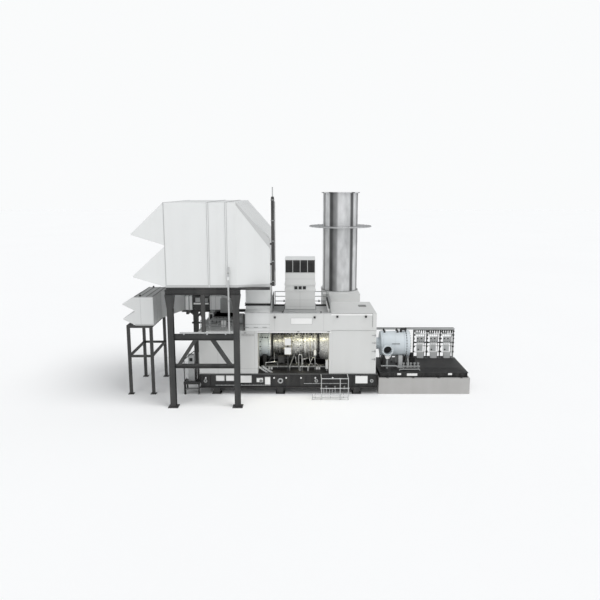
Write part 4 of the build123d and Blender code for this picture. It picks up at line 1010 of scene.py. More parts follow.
class PACKAGE_OT_bay_fittings(bpy.types.Operator):
    """Set the struts, boxes, pots and light strips in the open bay"""

    bl_idname = "package.bay_fittings"
    bl_label = "Bay fittings"

    def execute(self, context):
        make = Maker()
        levels = (2.84, 3.5)
        for shift in (0.0, 0.3):
            make.prism(
                [(-2.94 + shift, DECK + 0.5), (-2.94 + shift, DECK + 0.36), (-2.42 + shift, DECK),
                 (-2.22 + shift, DECK)], 1, -1.98, -1.9, GREY)
        make.pipe(
            [(-2.45, -1.4, DECK + 0.55), (-1.95, -1.45, DECK + 0.62), (-1.62, -1.45, DECK + 0.62),
             (-1.62, -1.2, DECK + 0.62), (-1.62, -1.2, DECK + 0.14)], 0.036, PIPE, 10, 0.12)
        make.post((-2.45, -1.4, DECK), DECK + 0.57, 0.04, RAIL, 8)
        make.box(-1.56, -1.1, -1.55, -1.15, DECK + 0.58, DECK + 1.03, BLACK)
        make.box(-1.52, -1.14, -1.56, -1.55, DECK + 0.62, DECK + 0.99, STEEL)
        for x in (-1.52, -1.16):
            make.box(x, x + 0.03, -1.5, -1.47, DECK, DECK + 0.58, BLACK)
        make.pipe([(-0.41, -1.05, DECK + 1.05), (-0.73, -1.5, DECK + 0.3), (-0.73, -1.5, DECK)],
                  0.034, PIPE, 10, 0.08)
        make.arch(-0.09, 0.13, -1.45, DECK, DECK + 1.17, 0.036, PIPE, 10, 0.11)
        make.pipe([(0.0, -1.55, DECK + 0.3), (0.56, -1.55, DECK + 0.3), (0.56, -1.55, DECK)],
                  0.035, GREY, 8, 0.08)
        make.post((0.0, -1.55, DECK), DECK + 0.32, 0.035, GREY, 8)
        make.pipe([(0.2, -1.45, DECK + 0.82), (0.5, -1.45, DECK + 0.86), (0.5, -1.0, DECK + 0.9)],
                  0.04, PIPE, 8, 0.06)
        make.post((0.2, -1.45, DECK), DECK + 0.84, 0.03, PIPE, 8)
        make.pipe([(0.98, -1.05, DECK + 0.96), (0.62, -1.5, DECK + 0.3), (0.62, -1.5, DECK)],
                  0.034, PIPE, 10, 0.08)
        make.lathe(
            [(DECK + 1.05, 0.03), (DECK + 1.08, 0.1), (DECK + 1.36, 0.1), (DECK + 1.42, 0.06),
             (DECK + 1.46, 0.05)], 2, (1.08, -1.28), PLATE, 20)
        make.post((1.08, -1.28, DECK), DECK + 1.05, 0.035, RAIL, 8)
        # Low boxes with a near-black slit; the slit is painted shade.
        for x in (-2.12, 1.3):
            make.box(x - 0.15, x + 0.15, -1.32, -1.1, DECK + 0.02, DECK + 0.17, PLATE)
            make.box(x - 0.02, x + 0.02, -1.33, -1.32, DECK + 0.02, DECK + 0.17, SHADE_BLACK)
        make.box(1.82, 1.99, -1.72, -1.5, DECK + 0.18, DECK + 0.8, PLATE)
        make.boxes(RAIL, (1.86, 1.95, -1.62, -1.54, DECK, DECK + 0.18),
                   (-2.8, 1.85, -1.16, -1.1, DECK + 0.14, DECK + 0.24),
                   (-2.8, 1.85, 1.1, 1.16, DECK + 0.14, DECK + 0.24))
        make.grow(
            "bar_row", (24, (0.19, 0, 0), (0.04, 0.24, 0.1)), (-2.3, -1.02, DECK + 0.18), DARK)
        for z in levels:
            make.box(-0.655, -0.635, -2.04, -2.02, z + 0.2, z + 0.3, RAIL)
            make.grow(
                "bar_row", (4, (0.1, 0, 0), (0.035, 0.035, 0.05)), (-1.0, -1.93, z - 0.025), BRASS)
        for k, x in enumerate((-1.0, -0.9, -0.8, -0.7)):
            make.pipe(
                [(x, -1.93, 2.82), (x, -1.93, 2.5 - 0.05 * k), (x - 0.3, -1.5, 2.2),
                 (x - 0.35, -1.15, 2.1)], 0.017, CABLE, 6, 0.12)
        for x in (-2.1, -0.2):
            make.box(x, x + 1.5, -1.75, -1.62, 4.39, 4.46, SHADE)
            make.box(x + 0.04, x + 1.46, -1.735, -1.635, 4.375, 4.39, LAMP)
        # A dark conduit and rows of dark clamps along the bay's top edge; their dark band is
        # partly painted shade under the roof's edge.
        make.rod((-2.0, -1.95, 4.4), (1.75, -1.95, 4.4), 0.03, CABLE, 8)
        for count, step, tall, lead in (
                (17, 0.22, 0.15, 0.0), (11, 0.33, 0.19, 0.09), (7, 0.52, 0.23, 0.15)):
            make.grow("bar_row", (count, (step, 0, 0), (0.075, 0.04, tall)),
                      (-1.95 + lead, -1.95, 4.455 - tall / 2), CABLE)
        make.box(-2.2, 1.9, 1.95, 2.12, 3.9, 4.05, RAIL)
        make.box(-2.9, 2.0, 2.1, 2.15, 1.6, 4.4, SHADE)
        for x in (-2.4, -1.2, 0.0, 1.2):
            make.box(x, x + 0.06, 2.04, 2.1, 1.55, 4.4, RAIL)
            make.pipe([(x + 0.3, 2.0, 1.55), (x + 0.3, 2.0, 4.3)], 0.05, RAIL, 8)
        # Near-black slots on the intake and near-black rings at the casing joints: painted shade
        # in the holes and gaps.
        for x, angle in ((-2.86, 140), (-2.7, 140), (-2.52, 140), (-2.36, 140), (-2.86, 160),
                         (-2.86, 180), (-2.86, 200), (-2.52, 40), (-2.7, 40), (-2.36, 40)):
            t = math.radians(angle)
            make.rod(about_shaft(x, 0.89, t), about_shaft(x, 1.0, t), 0.04, SHADE_BLACK, 12)
        make.collar((-2.0, 0, SHAFT), ALONG, 0.7, 0.99, 0.13, SHADE_BLACK, 64)
        make.collar((1.34, 0, SHAFT), ALONG, 1.0, 1.12, 0.1, SHADE_BLACK, 64)
        make.done("bay_fittings", smooth=True)
        make = Maker()
        boxes = span("junction_boxes")
        middle = (boxes[0] + boxes[1]) / 2
        for z in levels:
            make.box(boxes[0], boxes[1], boxes[2] + 0.012, boxes[3], z, z + 0.5, SEAM)
            make.box(boxes[0] + 0.015, boxes[1] - 0.015, boxes[2], boxes[2] + 0.012, z + 0.015,
                     z + 0.485, PLATE)
        make.box(
            middle - 0.04, middle + 0.04, boxes[3] - 0.08, boxes[3], boxes[4], boxes[5], STEEL)
        piece = make.done("box_skin")
        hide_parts("junction_boxes")
        return {"FINISHED"}


class PACKAGE_OT_skid_fittings(bpy.types.Operator):
    """Set boxes, bare plates, pipe stubs, stiffeners and deck edges on the two skids"""

    bl_idname = "package.skid_fittings"
    bl_label = "Skid fittings"

    def execute(self, context):
        sizes = context.scene.package_sizes
        make = Maker()
        skid = span("turbine_skid")
        edge = skid[2]
        web = edge + 0.09
        proud = 0.004
        for x0, x1, z0, z1 in (
                (-5.91, -5.31, 0.99, 1.39), (-5.21, -4.64, 0.99, 1.39), (-4.24, -3.4, 0.86, 1.39),
                (-3.06, -2.6, 0.9, 1.21), (-2.48, -2.08, 0.73, 1.285), (3.89, 4.76, 0.81, 1.365)):
            make.box(x0, x1, edge + 0.01, web, z0, z1, SEAM)
            make.box(x0 + 0.02, x1 - 0.02, edge + 0.002, edge + 0.01, z0 + 0.02, z1 - 0.02, PLATE)
            make.grow("head_grid", (2, 2, x1 - x0 - 0.08, z1 - z0 - 0.08, sizes.rivet, 0.012),
                      ((x0 + x1) / 2, edge + 0.001, (z0 + z1) / 2), BOLT, FRONTWARD)
        x, z = -1.38, 1.0
        make.collar((x, edge + 0.03, z), FRONTWARD, 0.1, 0.19, 0.04, GREY, 32)
        # Near-black bore: painted shade inside the stub.
        make.rod((x, web, z), (x, edge + 0.02, z), 0.105, SHADE_BLACK, 24)
        make.grow(
            "head_ring", (8, 0.15, sizes.bolt * 0.7, 0.03), (x, edge + 0.005, z), BOLT, FRONTWARD)
        for x in (-6.63, -1.82, -0.97, 0.07, 1.08, 2.3):
            make.rod((x, web, 1.21), (x, edge + 0.004, 1.21), 0.055, PLATE, 16)
        for x0, x1, y, z, r in (
                (-5.95, -2.1, edge + 0.03, 0.68, 0.028), (0.3, 3.3, edge + 0.035, 0.8, 0.03)):
            make.pipe([(x0, web, z), (x0, y, z), (x1, y, z), (x1, web, z)], r, RAIL, 8, 0.04)
        make.grow(
            "bar_row", (14, (0.28, 0, 0), (0.04, 0.06, 0.07)), (-5.8, edge + 0.04, 0.68), RAIL)
        for y in (edge - proud, skid[3]):
            make.box(skid[0], skid[1], y, y + proud, skid[5] - 0.02, skid[5] - 0.005, RAIL)
        for y in (edge + 0.045, skid[3] - 0.045):
            make.grow(
                "bar_row", (26, (0.48, 0, 0), (0.014, 0.08, 0.9)), (skid[0] + 0.25, y, 1.0), BLACK)
        for x in (skid[0] + 0.4, skid[0] + 4.3, skid[1] - 4.3, skid[1] - 0.4):
            for y in (edge + 0.02, skid[3] - 0.02):
                make.rod((x, y - 0.02, 1.0), (x, y + 0.02, 1.0), 0.11, STEEL, 20)
                make.collar((x, y, 1.0), BACKWARD, 0.055, 0.125, 0.05, RAIL, 24)
        low = span("driven_skid")
        face = low[2]
        for x0, x1, z0, z1 in (
                (6.885, 7.147, 1.33, 1.48), (7.564, 8.3, 1.27, 1.45), (10.48, 10.755, 1.33, 1.48)):
            make.box(x0, x1, face + 0.004, face + 0.05, z0, z1, PLATE)
        # Near-black holes: painted shade inside them.
        for x in (8.95, 9.6, 10.28, 11.3):
            make.rod((x, face + 0.05, 1.38), (x, face + 0.002, 1.38), 0.035, SHADE_BLACK, 12)
        for y in (face - proud, low[3]):
            make.box(low[0], low[1], y, y + proud, low[5] - 0.02, low[5] - 0.006, BLACK)
        make.grow("bar_row", (16, (0.4, 0, 0), (0.012, 0.07, 0.27)),
                  (low[0] + 0.15, face + 0.04, 1.335), BLACK)
        plinth = span("concrete_plinth")
        for x in (6.2, 8.0, 9.8, 11.4):
            for y in (plinth[2] + 0.1, plinth[3] - 0.1):
                make.box(
                    x - 0.09, x + 0.09, y - 0.08, y + 0.08, plinth[5], plinth[5] + 0.02, STEEL)
                make.grow("head_grid", (2, 2, 0.1, 0.08, sizes.rivet * 1.6, 0.05),
                          (x, y, plinth[5] + 0.04), BOLT)
        make.grow("bar_row", (30, (0.2, 0, 0), (0.012, 1.15, 0.006)),
                  (5.75, -1.35, low[5] + 0.002), BLACK)
        make.grow(
            "bar_row", (11, (0, 0.11, 0), (5.9, 0.01, 0.006)), (8.7, -1.9, low[5] + 0.002), BLACK)
        make.done("skid_fittings")
        return {"FINISHED"}


# Outlines of the driven compressor: place along the shaft, and radius.
BARREL = [(5.85, 0.8), (5.87, 0.89), (5.97, 0.89), (5.975, 0.872), (6.0, 0.872), (6.005, 0.89),
          (6.86, 0.89), (6.865, 0.876), (6.885, 0.876), (6.89, 0.89), (7.55, 0.89), (7.56, 0.93),
          (7.66, 0.93), (7.67, 0.89), (7.73, 0.89), (7.73, 0.96), (7.95, 0.96), (7.96, 0.95)]
COVER = [(7.955, 0.94), (7.965, 0.6), (7.97, 0.56), (8.05, 0.56), (8.07, 0.53)]


class PACKAGE_OT_driven_casing(bpy.types.Operator):
    """Turn the compressor barrel smoothly, with bands, a bolted cover and a flanged nozzle"""

    bl_idname = "package.driven_casing"
    bl_label = "Driven casing"

    def execute(self, context):
        head = context.scene.package_sizes.bolt
        axis = (0.0, SHAFT)
        make = Maker()
        make.lathe(BARREL, 0, axis, BLUE, ROUND)
        make.lathe(COVER, 0, axis, PALE, 64)
        make.grow("head_ring", (28, 0.885, head * 1.25, 0.1), (7.95, 0, SHAFT), DARK, ALONG)
        make.grow("head_ring", (28, 0.925, head, 0.07), (7.715, 0, SHAFT), DARK, (-1, 0, 0))
        make.grow("head_ring", (14, 0.48, head * 0.8, 0.05), (8.05, 0, SHAFT), DARK, ALONG)
        # Near-black grooves on the barrel's sides: painted shade.
        for side in (-1, 1):
            make.box(6.62, 7.2, side * 0.88, side * 0.905, 3.3, 3.335, SHADE_BLACK)
        piece = make.done("barrel_skin", smooth=True)
        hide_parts("compressor_barrel")
        make = Maker()
        spot = (6.27, 2.95)
        tip = span("suction_nozzle")[2]
        bore, wall, root = 0.295, 0.32, -0.86
        turned = [(tip, bore), (tip, 0.385), (tip + 0.006, 0.4065), (tip + 0.048, 0.4065),
                  (tip + 0.06, 0.345), (tip + 0.13, wall), (root, wall), (root, bore), (tip, bore)]
        make.lathe(turned, 1, spot, BLUE, 72)
        # Near-black disc in the bore: painted shade inside the nozzle.
        make.rod((spot[0], -0.93, spot[1]), (spot[0], -0.92, spot[1]), bore, SHADE_BLACK, 48)
        for y, tall, way in ((tip - 0.008, 0.03, FRONTWARD), (tip + 0.065, 0.04, BACKWARD)):
            make.grow(
                "head_ring", (20, 0.365, head * 0.85, tall), (spot[0], y, spot[1]), BOLT, way)
        piece = make.done("nozzle_skin", smooth=True)
        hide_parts("suction_nozzle")
        return {"FINISHED"}


class PACKAGE_OT_driven_fittings(bpy.types.Operator):
    """Set lugs, valves, legs, pipes and hand wheels about the driven compressor"""

    bl_idname = "package.driven_fittings"
    bl_label = "Driven fittings"

    def execute(self, context):
        sizes = context.scene.package_sizes
        make = Maker()
        top = SHAFT + 0.89
        for x in (6.15, 7.1):
            for y in (-0.24, 0.24):
                make.box(x - 0.07, x + 0.07, y - 0.03, y + 0.03, top - 0.06, top + 0.1, BLACK)
                make.collar((x, y, top + 0.09), BACKWARD, 0.03, 0.07, 0.05, BLACK, 16)
        make.post((7.36, -0.15, top - 0.02), top + 0.16, 0.09, BLACK, 14)
        make.pipe([(7.36, -0.15, top + 0.05), (7.36, -0.15, top + 0.2), (7.76, -0.15, top + 0.2)],
                  0.085, BLACK, 12, 0.12)
        make.collar((7.7, -0.15, top + 0.2), ALONG, 0.04, 0.13, 0.05, BLACK, 20)
        make.boxes(
            GREY, (7.14, 7.42, -0.82, -0.52, DECK, 2.42),
            (7.08, 7.48, -0.88, -0.46, DECK, DECK + 0.05), (7.14, 7.42, 0.52, 0.82, DECK, 2.42))
        make.prism([(6.16, 2.32), (6.38, 2.32), (6.46, 2.52), (6.08, 2.52)], 1, -1.28, -0.9, PLATE)
        make.post((6.27, -1.1, DECK), 2.34, 0.06, RAIL, 12)
        for side in (-1, 1):
            make.prism(
                [(side * 0.1, 2.22), (side * 0.2, 2.22), (side * 0.75, DECK), (side * 0.62, DECK)],
                0, 7.86, 7.95, RAIL)
        make.pipe([(5.8, -1.3, 1.8), (6.85, -1.3, 1.8), (6.95, -1.3, 1.76), (7.4, -1.3, 1.76)],
                  0.05, RAIL, 10, 0.08)
        for x in (6.0, 6.6):
            make.post((x, -1.3, DECK), 1.78, 0.03, STEEL, 8)
        start = span("valve_manifold")[0]
        for k in range(5):
            x = start + 0.13 + k * 0.26
            make.box(x - 0.07, x + 0.07, -1.37, -1.23, 1.69, 1.84, RAIL)
            make.rod((x, -1.37, 1.765), (x, -1.46, 1.765), 0.055, RAIL, 12)
            make.grow("head_ring", (6, 0.04, sizes.rivet * 0.7, 0.02), (x, -1.463, 1.765), BOLT,
                      FRONTWARD)
        make.arch(7.1, 8.55, -1.55, DECK, 1.62, 0.04, RAIL, 10, 0.08)
        make.pipe([(7.9, 0.9, DECK), (7.9, 0.9, 2.3), (7.75, 0.6, 2.6)], 0.07, BLACK, 10, 0.14)
        make.pipe([(6.9, 0.9, DECK), (6.9, 1.15, 1.9), (8.4, 1.15, 1.9), (8.4, 1.15, DECK)], 0.06,
                  RAIL, 10, 0.12)
        make.box(8.15, 8.55, 0.35, 0.95, DECK, DECK + 0.42, BLACK)
        make.post((8.35, 0.65, DECK + 0.42), DECK + 0.72, 0.15, BLACK, 18)
        for x in (6.1, 7.3):
            make.pipe(
                [(x, 0.7, top - 0.35), (x, 1.2, top - 0.2), (x, 1.55, top - 0.5), (x, 1.6, DECK)],
                0.03, CABLE, 8, 0.15)
        make.done("driven_fittings", smooth=True)
        return {"FINISHED"}


class PACKAGE_OT_rack_dress(bpy.types.Operator):
    """Fill the instrument rack: gauges, valves, boxes, tubing and tray rungs"""

    bl_idname = "package.rack_dress"
    bl_label = "Instrument rack"

    def execute(self, context):
        sizes = context.scene.package_sizes
        make = Maker()
        panel = span("rack_panels")
        y = panel[2]
        for k, middle in enumerate((9.185, 10.195, 11.205)):
            make.box(middle - 0.25, middle + 0.2, y - 0.02, y + 0.16, 2.07, 2.62, DUCT)
            make.box(middle - 0.22, middle + 0.17, y - 0.03, y - 0.02, 2.1, 2.59, GREY)
            # A near-black hole, and near-black faces on every other gauge, in the painted-shade
            # black.
            make.rod(
                (middle - 0.14, y - 0.05, 2.22), (middle - 0.14, y - 0.02, 2.22), 0.055, SHADE_BLACK, 16)
            for i in range(4):
                x = middle - 0.21 + 0.14 * i
                make.rod((x, y - 0.05, 3.08), (x, y - 0.005, 3.08), 0.052, BLACK, 18)
                make.rod(
                    (x, y - 0.055, 3.08), (x, y - 0.05, 3.08), 0.04, PLATE if i % 2 else SHADE_BLACK, 18)
                make.pipe([(x, y + 0.03, 2.62), (x, y + 0.03, 2.72)], 0.014, PIPE, 6)
                make.rod((x, y - 0.06, 2.86), (x, y - 0.005, 2.86), 0.03, BLACK, 10)
            for i in range(5):
                x = middle - 0.36 + 0.17 * i
                make.post((x, y + 0.02, 3.5), 3.66, 0.05 if k else 0.035, BLACK, 12)
                make.post((x, y + 0.02, 3.66), 3.7, 0.07 if k else 0.05, BLACK, 12)
                make.pipe([(x, y + 0.02, 3.5), (x, y + 0.02, 3.36), (x + 0.04, y + 0.02, 3.22)],
                          0.014, PIPE, 6, 0.04)
            make.box(middle - 0.42, middle + 0.42, y + 0.0, y + 0.05, 3.4, 3.44, RAIL)
            make.box(middle - 0.4, middle - 0.02, y - 0.01, y + 0.04, 3.44, 3.58, GREY)
            make.pipe(
                [(middle + 0.32, y + 0.04, 3.4), (middle + 0.32, y + 0.04, 2.75),
                 (middle + 0.3, y + 0.04, 1.53)], 0.022, CABLE, 6, 0.05)
        for z in (1.97, 2.46):
            make.box(8.7, 11.69, y + 0.08, y + 0.12, z, z + 0.035, RAIL)
        for x in (11.6, 11.68):
            make.pipe([(x, y + 0.05, 3.7), (x, y + 0.05, 1.53)], 0.02, GREY, 8)
        tray = span("cable_tray")
        make.grow("bar_row", (24, (0.265, 0, 0), (0.03, tray[3] - tray[2] - 0.02, 0.03)),
                  (tray[0] + 0.15, (tray[2] + tray[3]) / 2, tray[4] + 0.03), RAIL)
        for k in range(4):
            make.pipe(
                [(tray[0], tray[2] + 0.06 + 0.06 * k, tray[5] - 0.03),
                 (tray[1] - 0.05, tray[2] + 0.06 + 0.06 * k, tray[5] - 0.03)], 0.02, CABLE, 6)
        for k, x in enumerate((8.68, 9.69, 10.7, 11.71)):
            for i, z in enumerate((3.58, 3.3, 3.02, 2.72, 2.4, 2.0)):
                wide = (0.075, 0.1, 0.06)[(i + k) % 3]
                x0 = max(x - wide, 8.64)
                make.box(x0, min(x + wide, 11.75), y - 0.04, y + 0.05, z, z + 0.11, BLACK)
                if i % 2 == k % 2:
                    make.rod((min(x, 11.68), y - 0.04, z + 0.05),
                             (min(x, 11.68), y - 0.13, z + 0.05), 0.055, BLACK, 12)
            make.box(x - 0.1, x + 0.1, 1.72, 1.88, DECK, DECK + 0.02, RAIL)
            make.grow(
                "head_grid", (2, 2, 0.14, 0.1, sizes.rivet, 0.03), (x, 1.8, DECK + 0.03), BOLT)
        make.done("rack_dress", smooth=True)
        return {"FINISHED"}


class PACKAGE_OT_stack_skin(bpy.types.Operator):
    """Turn the stack and its ring smoothly, with sheet laps, lugs and a chest flange"""

    bl_idname = "package.stack_skin"
    bl_label = "Stack skin"

    def execute(self, context):
        sizes = context.scene.package_sizes
        shell = span("stack_shell")
        rim = (shell[1] - shell[0]) / 2
        spot = ((shell[0] + shell[1]) / 2, (shell[2] + shell[3]) / 2)
        wall = rim - 0.13
        flue = wall - 0.08
        make = Maker()
        laps = []
        for z in (8.3, 10.2, 12.2):
            laps += [(z, wall - 0.004), (z, wall + 0.002), (z + 0.05, wall + 0.002),
                     (z + 0.05, wall - 0.004)]
        outline = [(shell[4], flue), (shell[4], wall - 0.004)] + laps
        outline += [
            (shell[5] - 0.07, wall - 0.004), (shell[5] - 0.07, rim), (shell[5] - 0.01, rim),
            (shell[5], rim - 0.01), (shell[5], flue), (shell[4], flue)]
        make.lathe(outline, 2, spot, SHEET, 128)
        piece = make.done("stack_skin", smooth=True)
        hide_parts("stack_shell")
        make = Maker()
        ring = span("stack_ring")
        reach = (ring[1] - ring[0]) / 2
        make.lathe(
            [(ring[4], wall + 0.005), (ring[4], reach - 0.01), (ring[4] + 0.01, reach),
             (ring[5] - 0.01, reach), (ring[5], reach - 0.01), (ring[5], wall + 0.005),
             (ring[4], wall + 0.005)], 2, spot, RING, 128)
        make.grow("head_ring", (sizes.ring_bolts, reach - 0.09, sizes.bolt, 0.03),
                  (*spot, ring[5] + 0.01), BOLT)
        piece = make.done("ring_skin", smooth=True)
        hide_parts("stack_ring")
        make = Maker()
        chest = span("exhaust_chest")
        half, band = sizes.seam / 2, sizes.seam * 2
        make.collar((*spot, chest[5] + 0.02), UPWARD, wall + 0.006, wall + 0.08, 0.04, RAIL, 96)
        make.grow(
            "head_ring", (40, wall + 0.045, sizes.bolt, 0.03), (*spot, chest[5] + 0.05), BOLT)
        for z in (chest[5] - 0.1, chest[5] - 0.8, 3.4):
            make.boxes(SEAM, (chest[0] - 0.012, chest[0], chest[2] + 0.02, chest[3], z, z + band),
                       (chest[1], chest[1] + 0.012, chest[2] + 0.02, chest[3], z, z + band),
                       (chest[0], chest[1], chest[3], chest[3] + 0.012, z, z + band))
        for k in range(1, 4):
            x = chest[0] + k * (chest[1] - chest[0]) / 4
            make.box(x - half, x + half, chest[3], chest[3] + 0.008, chest[4], chest[5], SEAM)
        for y in (3.4, 4.6, 5.6):
            make.boxes(SEAM, (chest[1], chest[1] + 0.008, y - half, y + half, chest[4], chest[5]),
                       (chest[0] - 0.008, chest[0], y - half, y + half, chest[4], chest[5]))
        for x in (chest[0] + 0.12, chest[1] - 0.12):
            make.prism(
                [(chest[3] - 0.3, chest[5]), (chest[3] - 0.1, chest[5]),
                 (chest[3] - 0.15, chest[5] + 0.14), (chest[3] - 0.25, chest[5] + 0.14)], 0,
                x - 0.02, x + 0.02, STEEL)
        make.done("chest_trim")
        return {"FINISHED"}


class PACKAGE_OT_vent_dress(bpy.types.Operator):
    """Dress the vent filter, its transition, fan and elbow: seams, flanges, bands and a motor"""

    bl_idname = "package.vent_dress"
    bl_label = "Vent filter"

    def execute(self, context):
        sizes = context.scene.package_sizes
        make = Maker()
        vent = span("vent_house")
        half = sizes.seam / 2
        for x in (vent[0] + 0.42, vent[1] - 0.03):
            for y in (vent[2] - 0.008, vent[3]):
                make.box(x - half, x + half, y, y + 0.008, vent[4], vent[5], SEAM)
            make.box(x - half, x + half, vent[2], vent[3], vent[5], vent[5] + 0.01, SEAM)
        # Darker bands at the front's foot and top, and a darker sheet over the whole top; the top
        # sheet is painted shade from the filter house above.
        make.boxes(SHADE, (vent[0], vent[1], vent[2] - 0.014, vent[2], vent[4], vent[4] + 0.1),
                   (vent[0], vent[1], vent[2] - 0.01, vent[2], vent[5] - 0.05, vent[5]),
                   (vent[0], vent[1], vent[2], vent[3], vent[5], vent[5] + 0.008))
        for x in (vent[0] + 0.04, vent[0] + 0.42, vent[0] + 0.86, vent[1] - 0.05):
            make.box(x - 0.035, x + 0.035, vent[2], vent[3], vent[5], vent[5] + 0.022, DARK_SEAM)
        for k in range(1, 4):
            y = vent[2] + k * 1.07
            make.box(vent[1], vent[1] + 0.008, y - half, y + half, vent[4], vent[5], SEAM)
        for y in (vent[2] + 0.2, vent[3] - 0.2):
            make.prism(
                [(vent[0] + 0.3, vent[5]), (vent[0] + 0.46, vent[5]),
                 (vent[0] + 0.42, vent[5] + 0.13), (vent[0] + 0.34, vent[5] + 0.13)], 1, y - 0.02,
                y + 0.02, STEEL)
        duct = span("vent_fan")
        y0, y1, z0, z1 = duct[2] + 0.06, duct[3] - 0.06, duct[4] + 0.06, duct[5] - 0.06
        middle = (y0 + y1) / 2
        for x in (-8.86, -8.55):
            make.boxes(RAIL, (x - 0.03, x + 0.03, y0 - 0.05, y1 + 0.05, z1, z1 + 0.05),
                       (x - 0.03, x + 0.03, y0 - 0.05, y0, z0 - 0.05, z1),
                       (x - 0.03, x + 0.03, y1, y1 + 0.05, z0 - 0.05, z1))
        make.box(duct[0] + 0.1, duct[1] - 0.1, y0 - 0.016, y0, z0 + 0.42, z0 + 0.55, PLATE)
        make.box(duct[0] + 0.25, duct[0] + 0.62, y0 - 0.03, y0, z0 + 0.62, z0 + 0.95, GREY)
        make.box(duct[1] - 0.5, duct[1] - 0.15, y0 - 0.03, y0, z0 + 0.62, z0 + 0.9, RAIL)
        for z in (z1 - 0.06, z0 + 0.06):
            make.grow("head_row", (12, (0.1, 0, 0), sizes.rivet, 0.014),
                      (duct[0] + 0.14, y0 - 0.004, z), BOLT, FRONTWARD)
        for x in (duct[0] + 0.03, duct[1] - 0.03):
            make.grow("head_grid", (2, 9, 0.03, z1 - z0 - 0.1, sizes.rivet, 0.02),
                      (x, duct[2] - 0.004, (z0 + z1) / 2), BOLT, FRONTWARD)
        motor = (-7.9, middle)
        make.post((*motor, z1), z1 + 0.26, 0.2, BLACK, 24)
        make.post((*motor, z1 + 0.26), z1 + 0.32, 0.15, STEEL, 24)
        make.grow("bar_row", (10, (0, 0, 0.022), (0.42, 0.42, 0.008)), (*motor, z1 + 0.04), BLACK)
        for x in (-7.95, -7.35):
            make.box(x - 0.05, x + 0.05, y0 - 0.35, y0 - 0.25, 4.75, z0 - 0.06, BLACK)
        make.prism(
            [(-8.26, 4.2), (-8.1, 4.2), (-7.68, 4.75), (-7.26, 4.2), (-7.1, 4.2), (-7.62, 4.92),
             (-7.74, 4.92)], 1, y0 - 0.36, y0 - 0.24, BLACK)
        make.box(-8.3, -7.0, y0 - 0.4, y0 - 0.2, 4.12, 4.22, BLACK)
        for x in (-6.85, -6.5):
            make.boxes(SEAM, (x - 0.012, x + 0.012, y0 - 0.006, y0, z0, z1),
                       (x - 0.012, x + 0.012, y0, y1, z1, z1 + 0.006))
        elbow = span("vent_elbow")
        make.box(elbow[1] - 1.14, elbow[1] + 0.03, elbow[2] - 0.02, elbow[2] + 0.06,
                 elbow[4] - 0.02, elbow[5] + 0.03, RAIL)
        make.done("vent_dress")
        return {"FINISHED"}


class PACKAGE_OT_frame_joints(bpy.types.Operator):
    """Bolt the frame's joints with grids of bolt heads on the columns"""

    bl_idname = "package.frame_joints"
    bl_label = "Frame joints"

    def execute(self, context):
        head = context.scene.package_sizes.bolt
        make = Maker()
        columns = span("frame_columns")
        proud = 0.004
        for x in (-8.41, -4.14):
            for y, side in ((columns[2] - proud, -1), (columns[3] + proud, 1)):
                way = (0, side, 0)
                for z, tall in ((4.76, 0.3), (2.8, 0.2)):
                    make.grow(
                        "head_grid", (2, 3, 0.18, tall, head, 0.03), (x, y, z), DARK_BOLT, way)
                make.grow("head_grid", (4, 2, 0.5, 0.14, head, 0.03), (x, y, 7.72), DARK_BOLT, way)
        make.done("frame_joints")
        return {"FINISHED"}


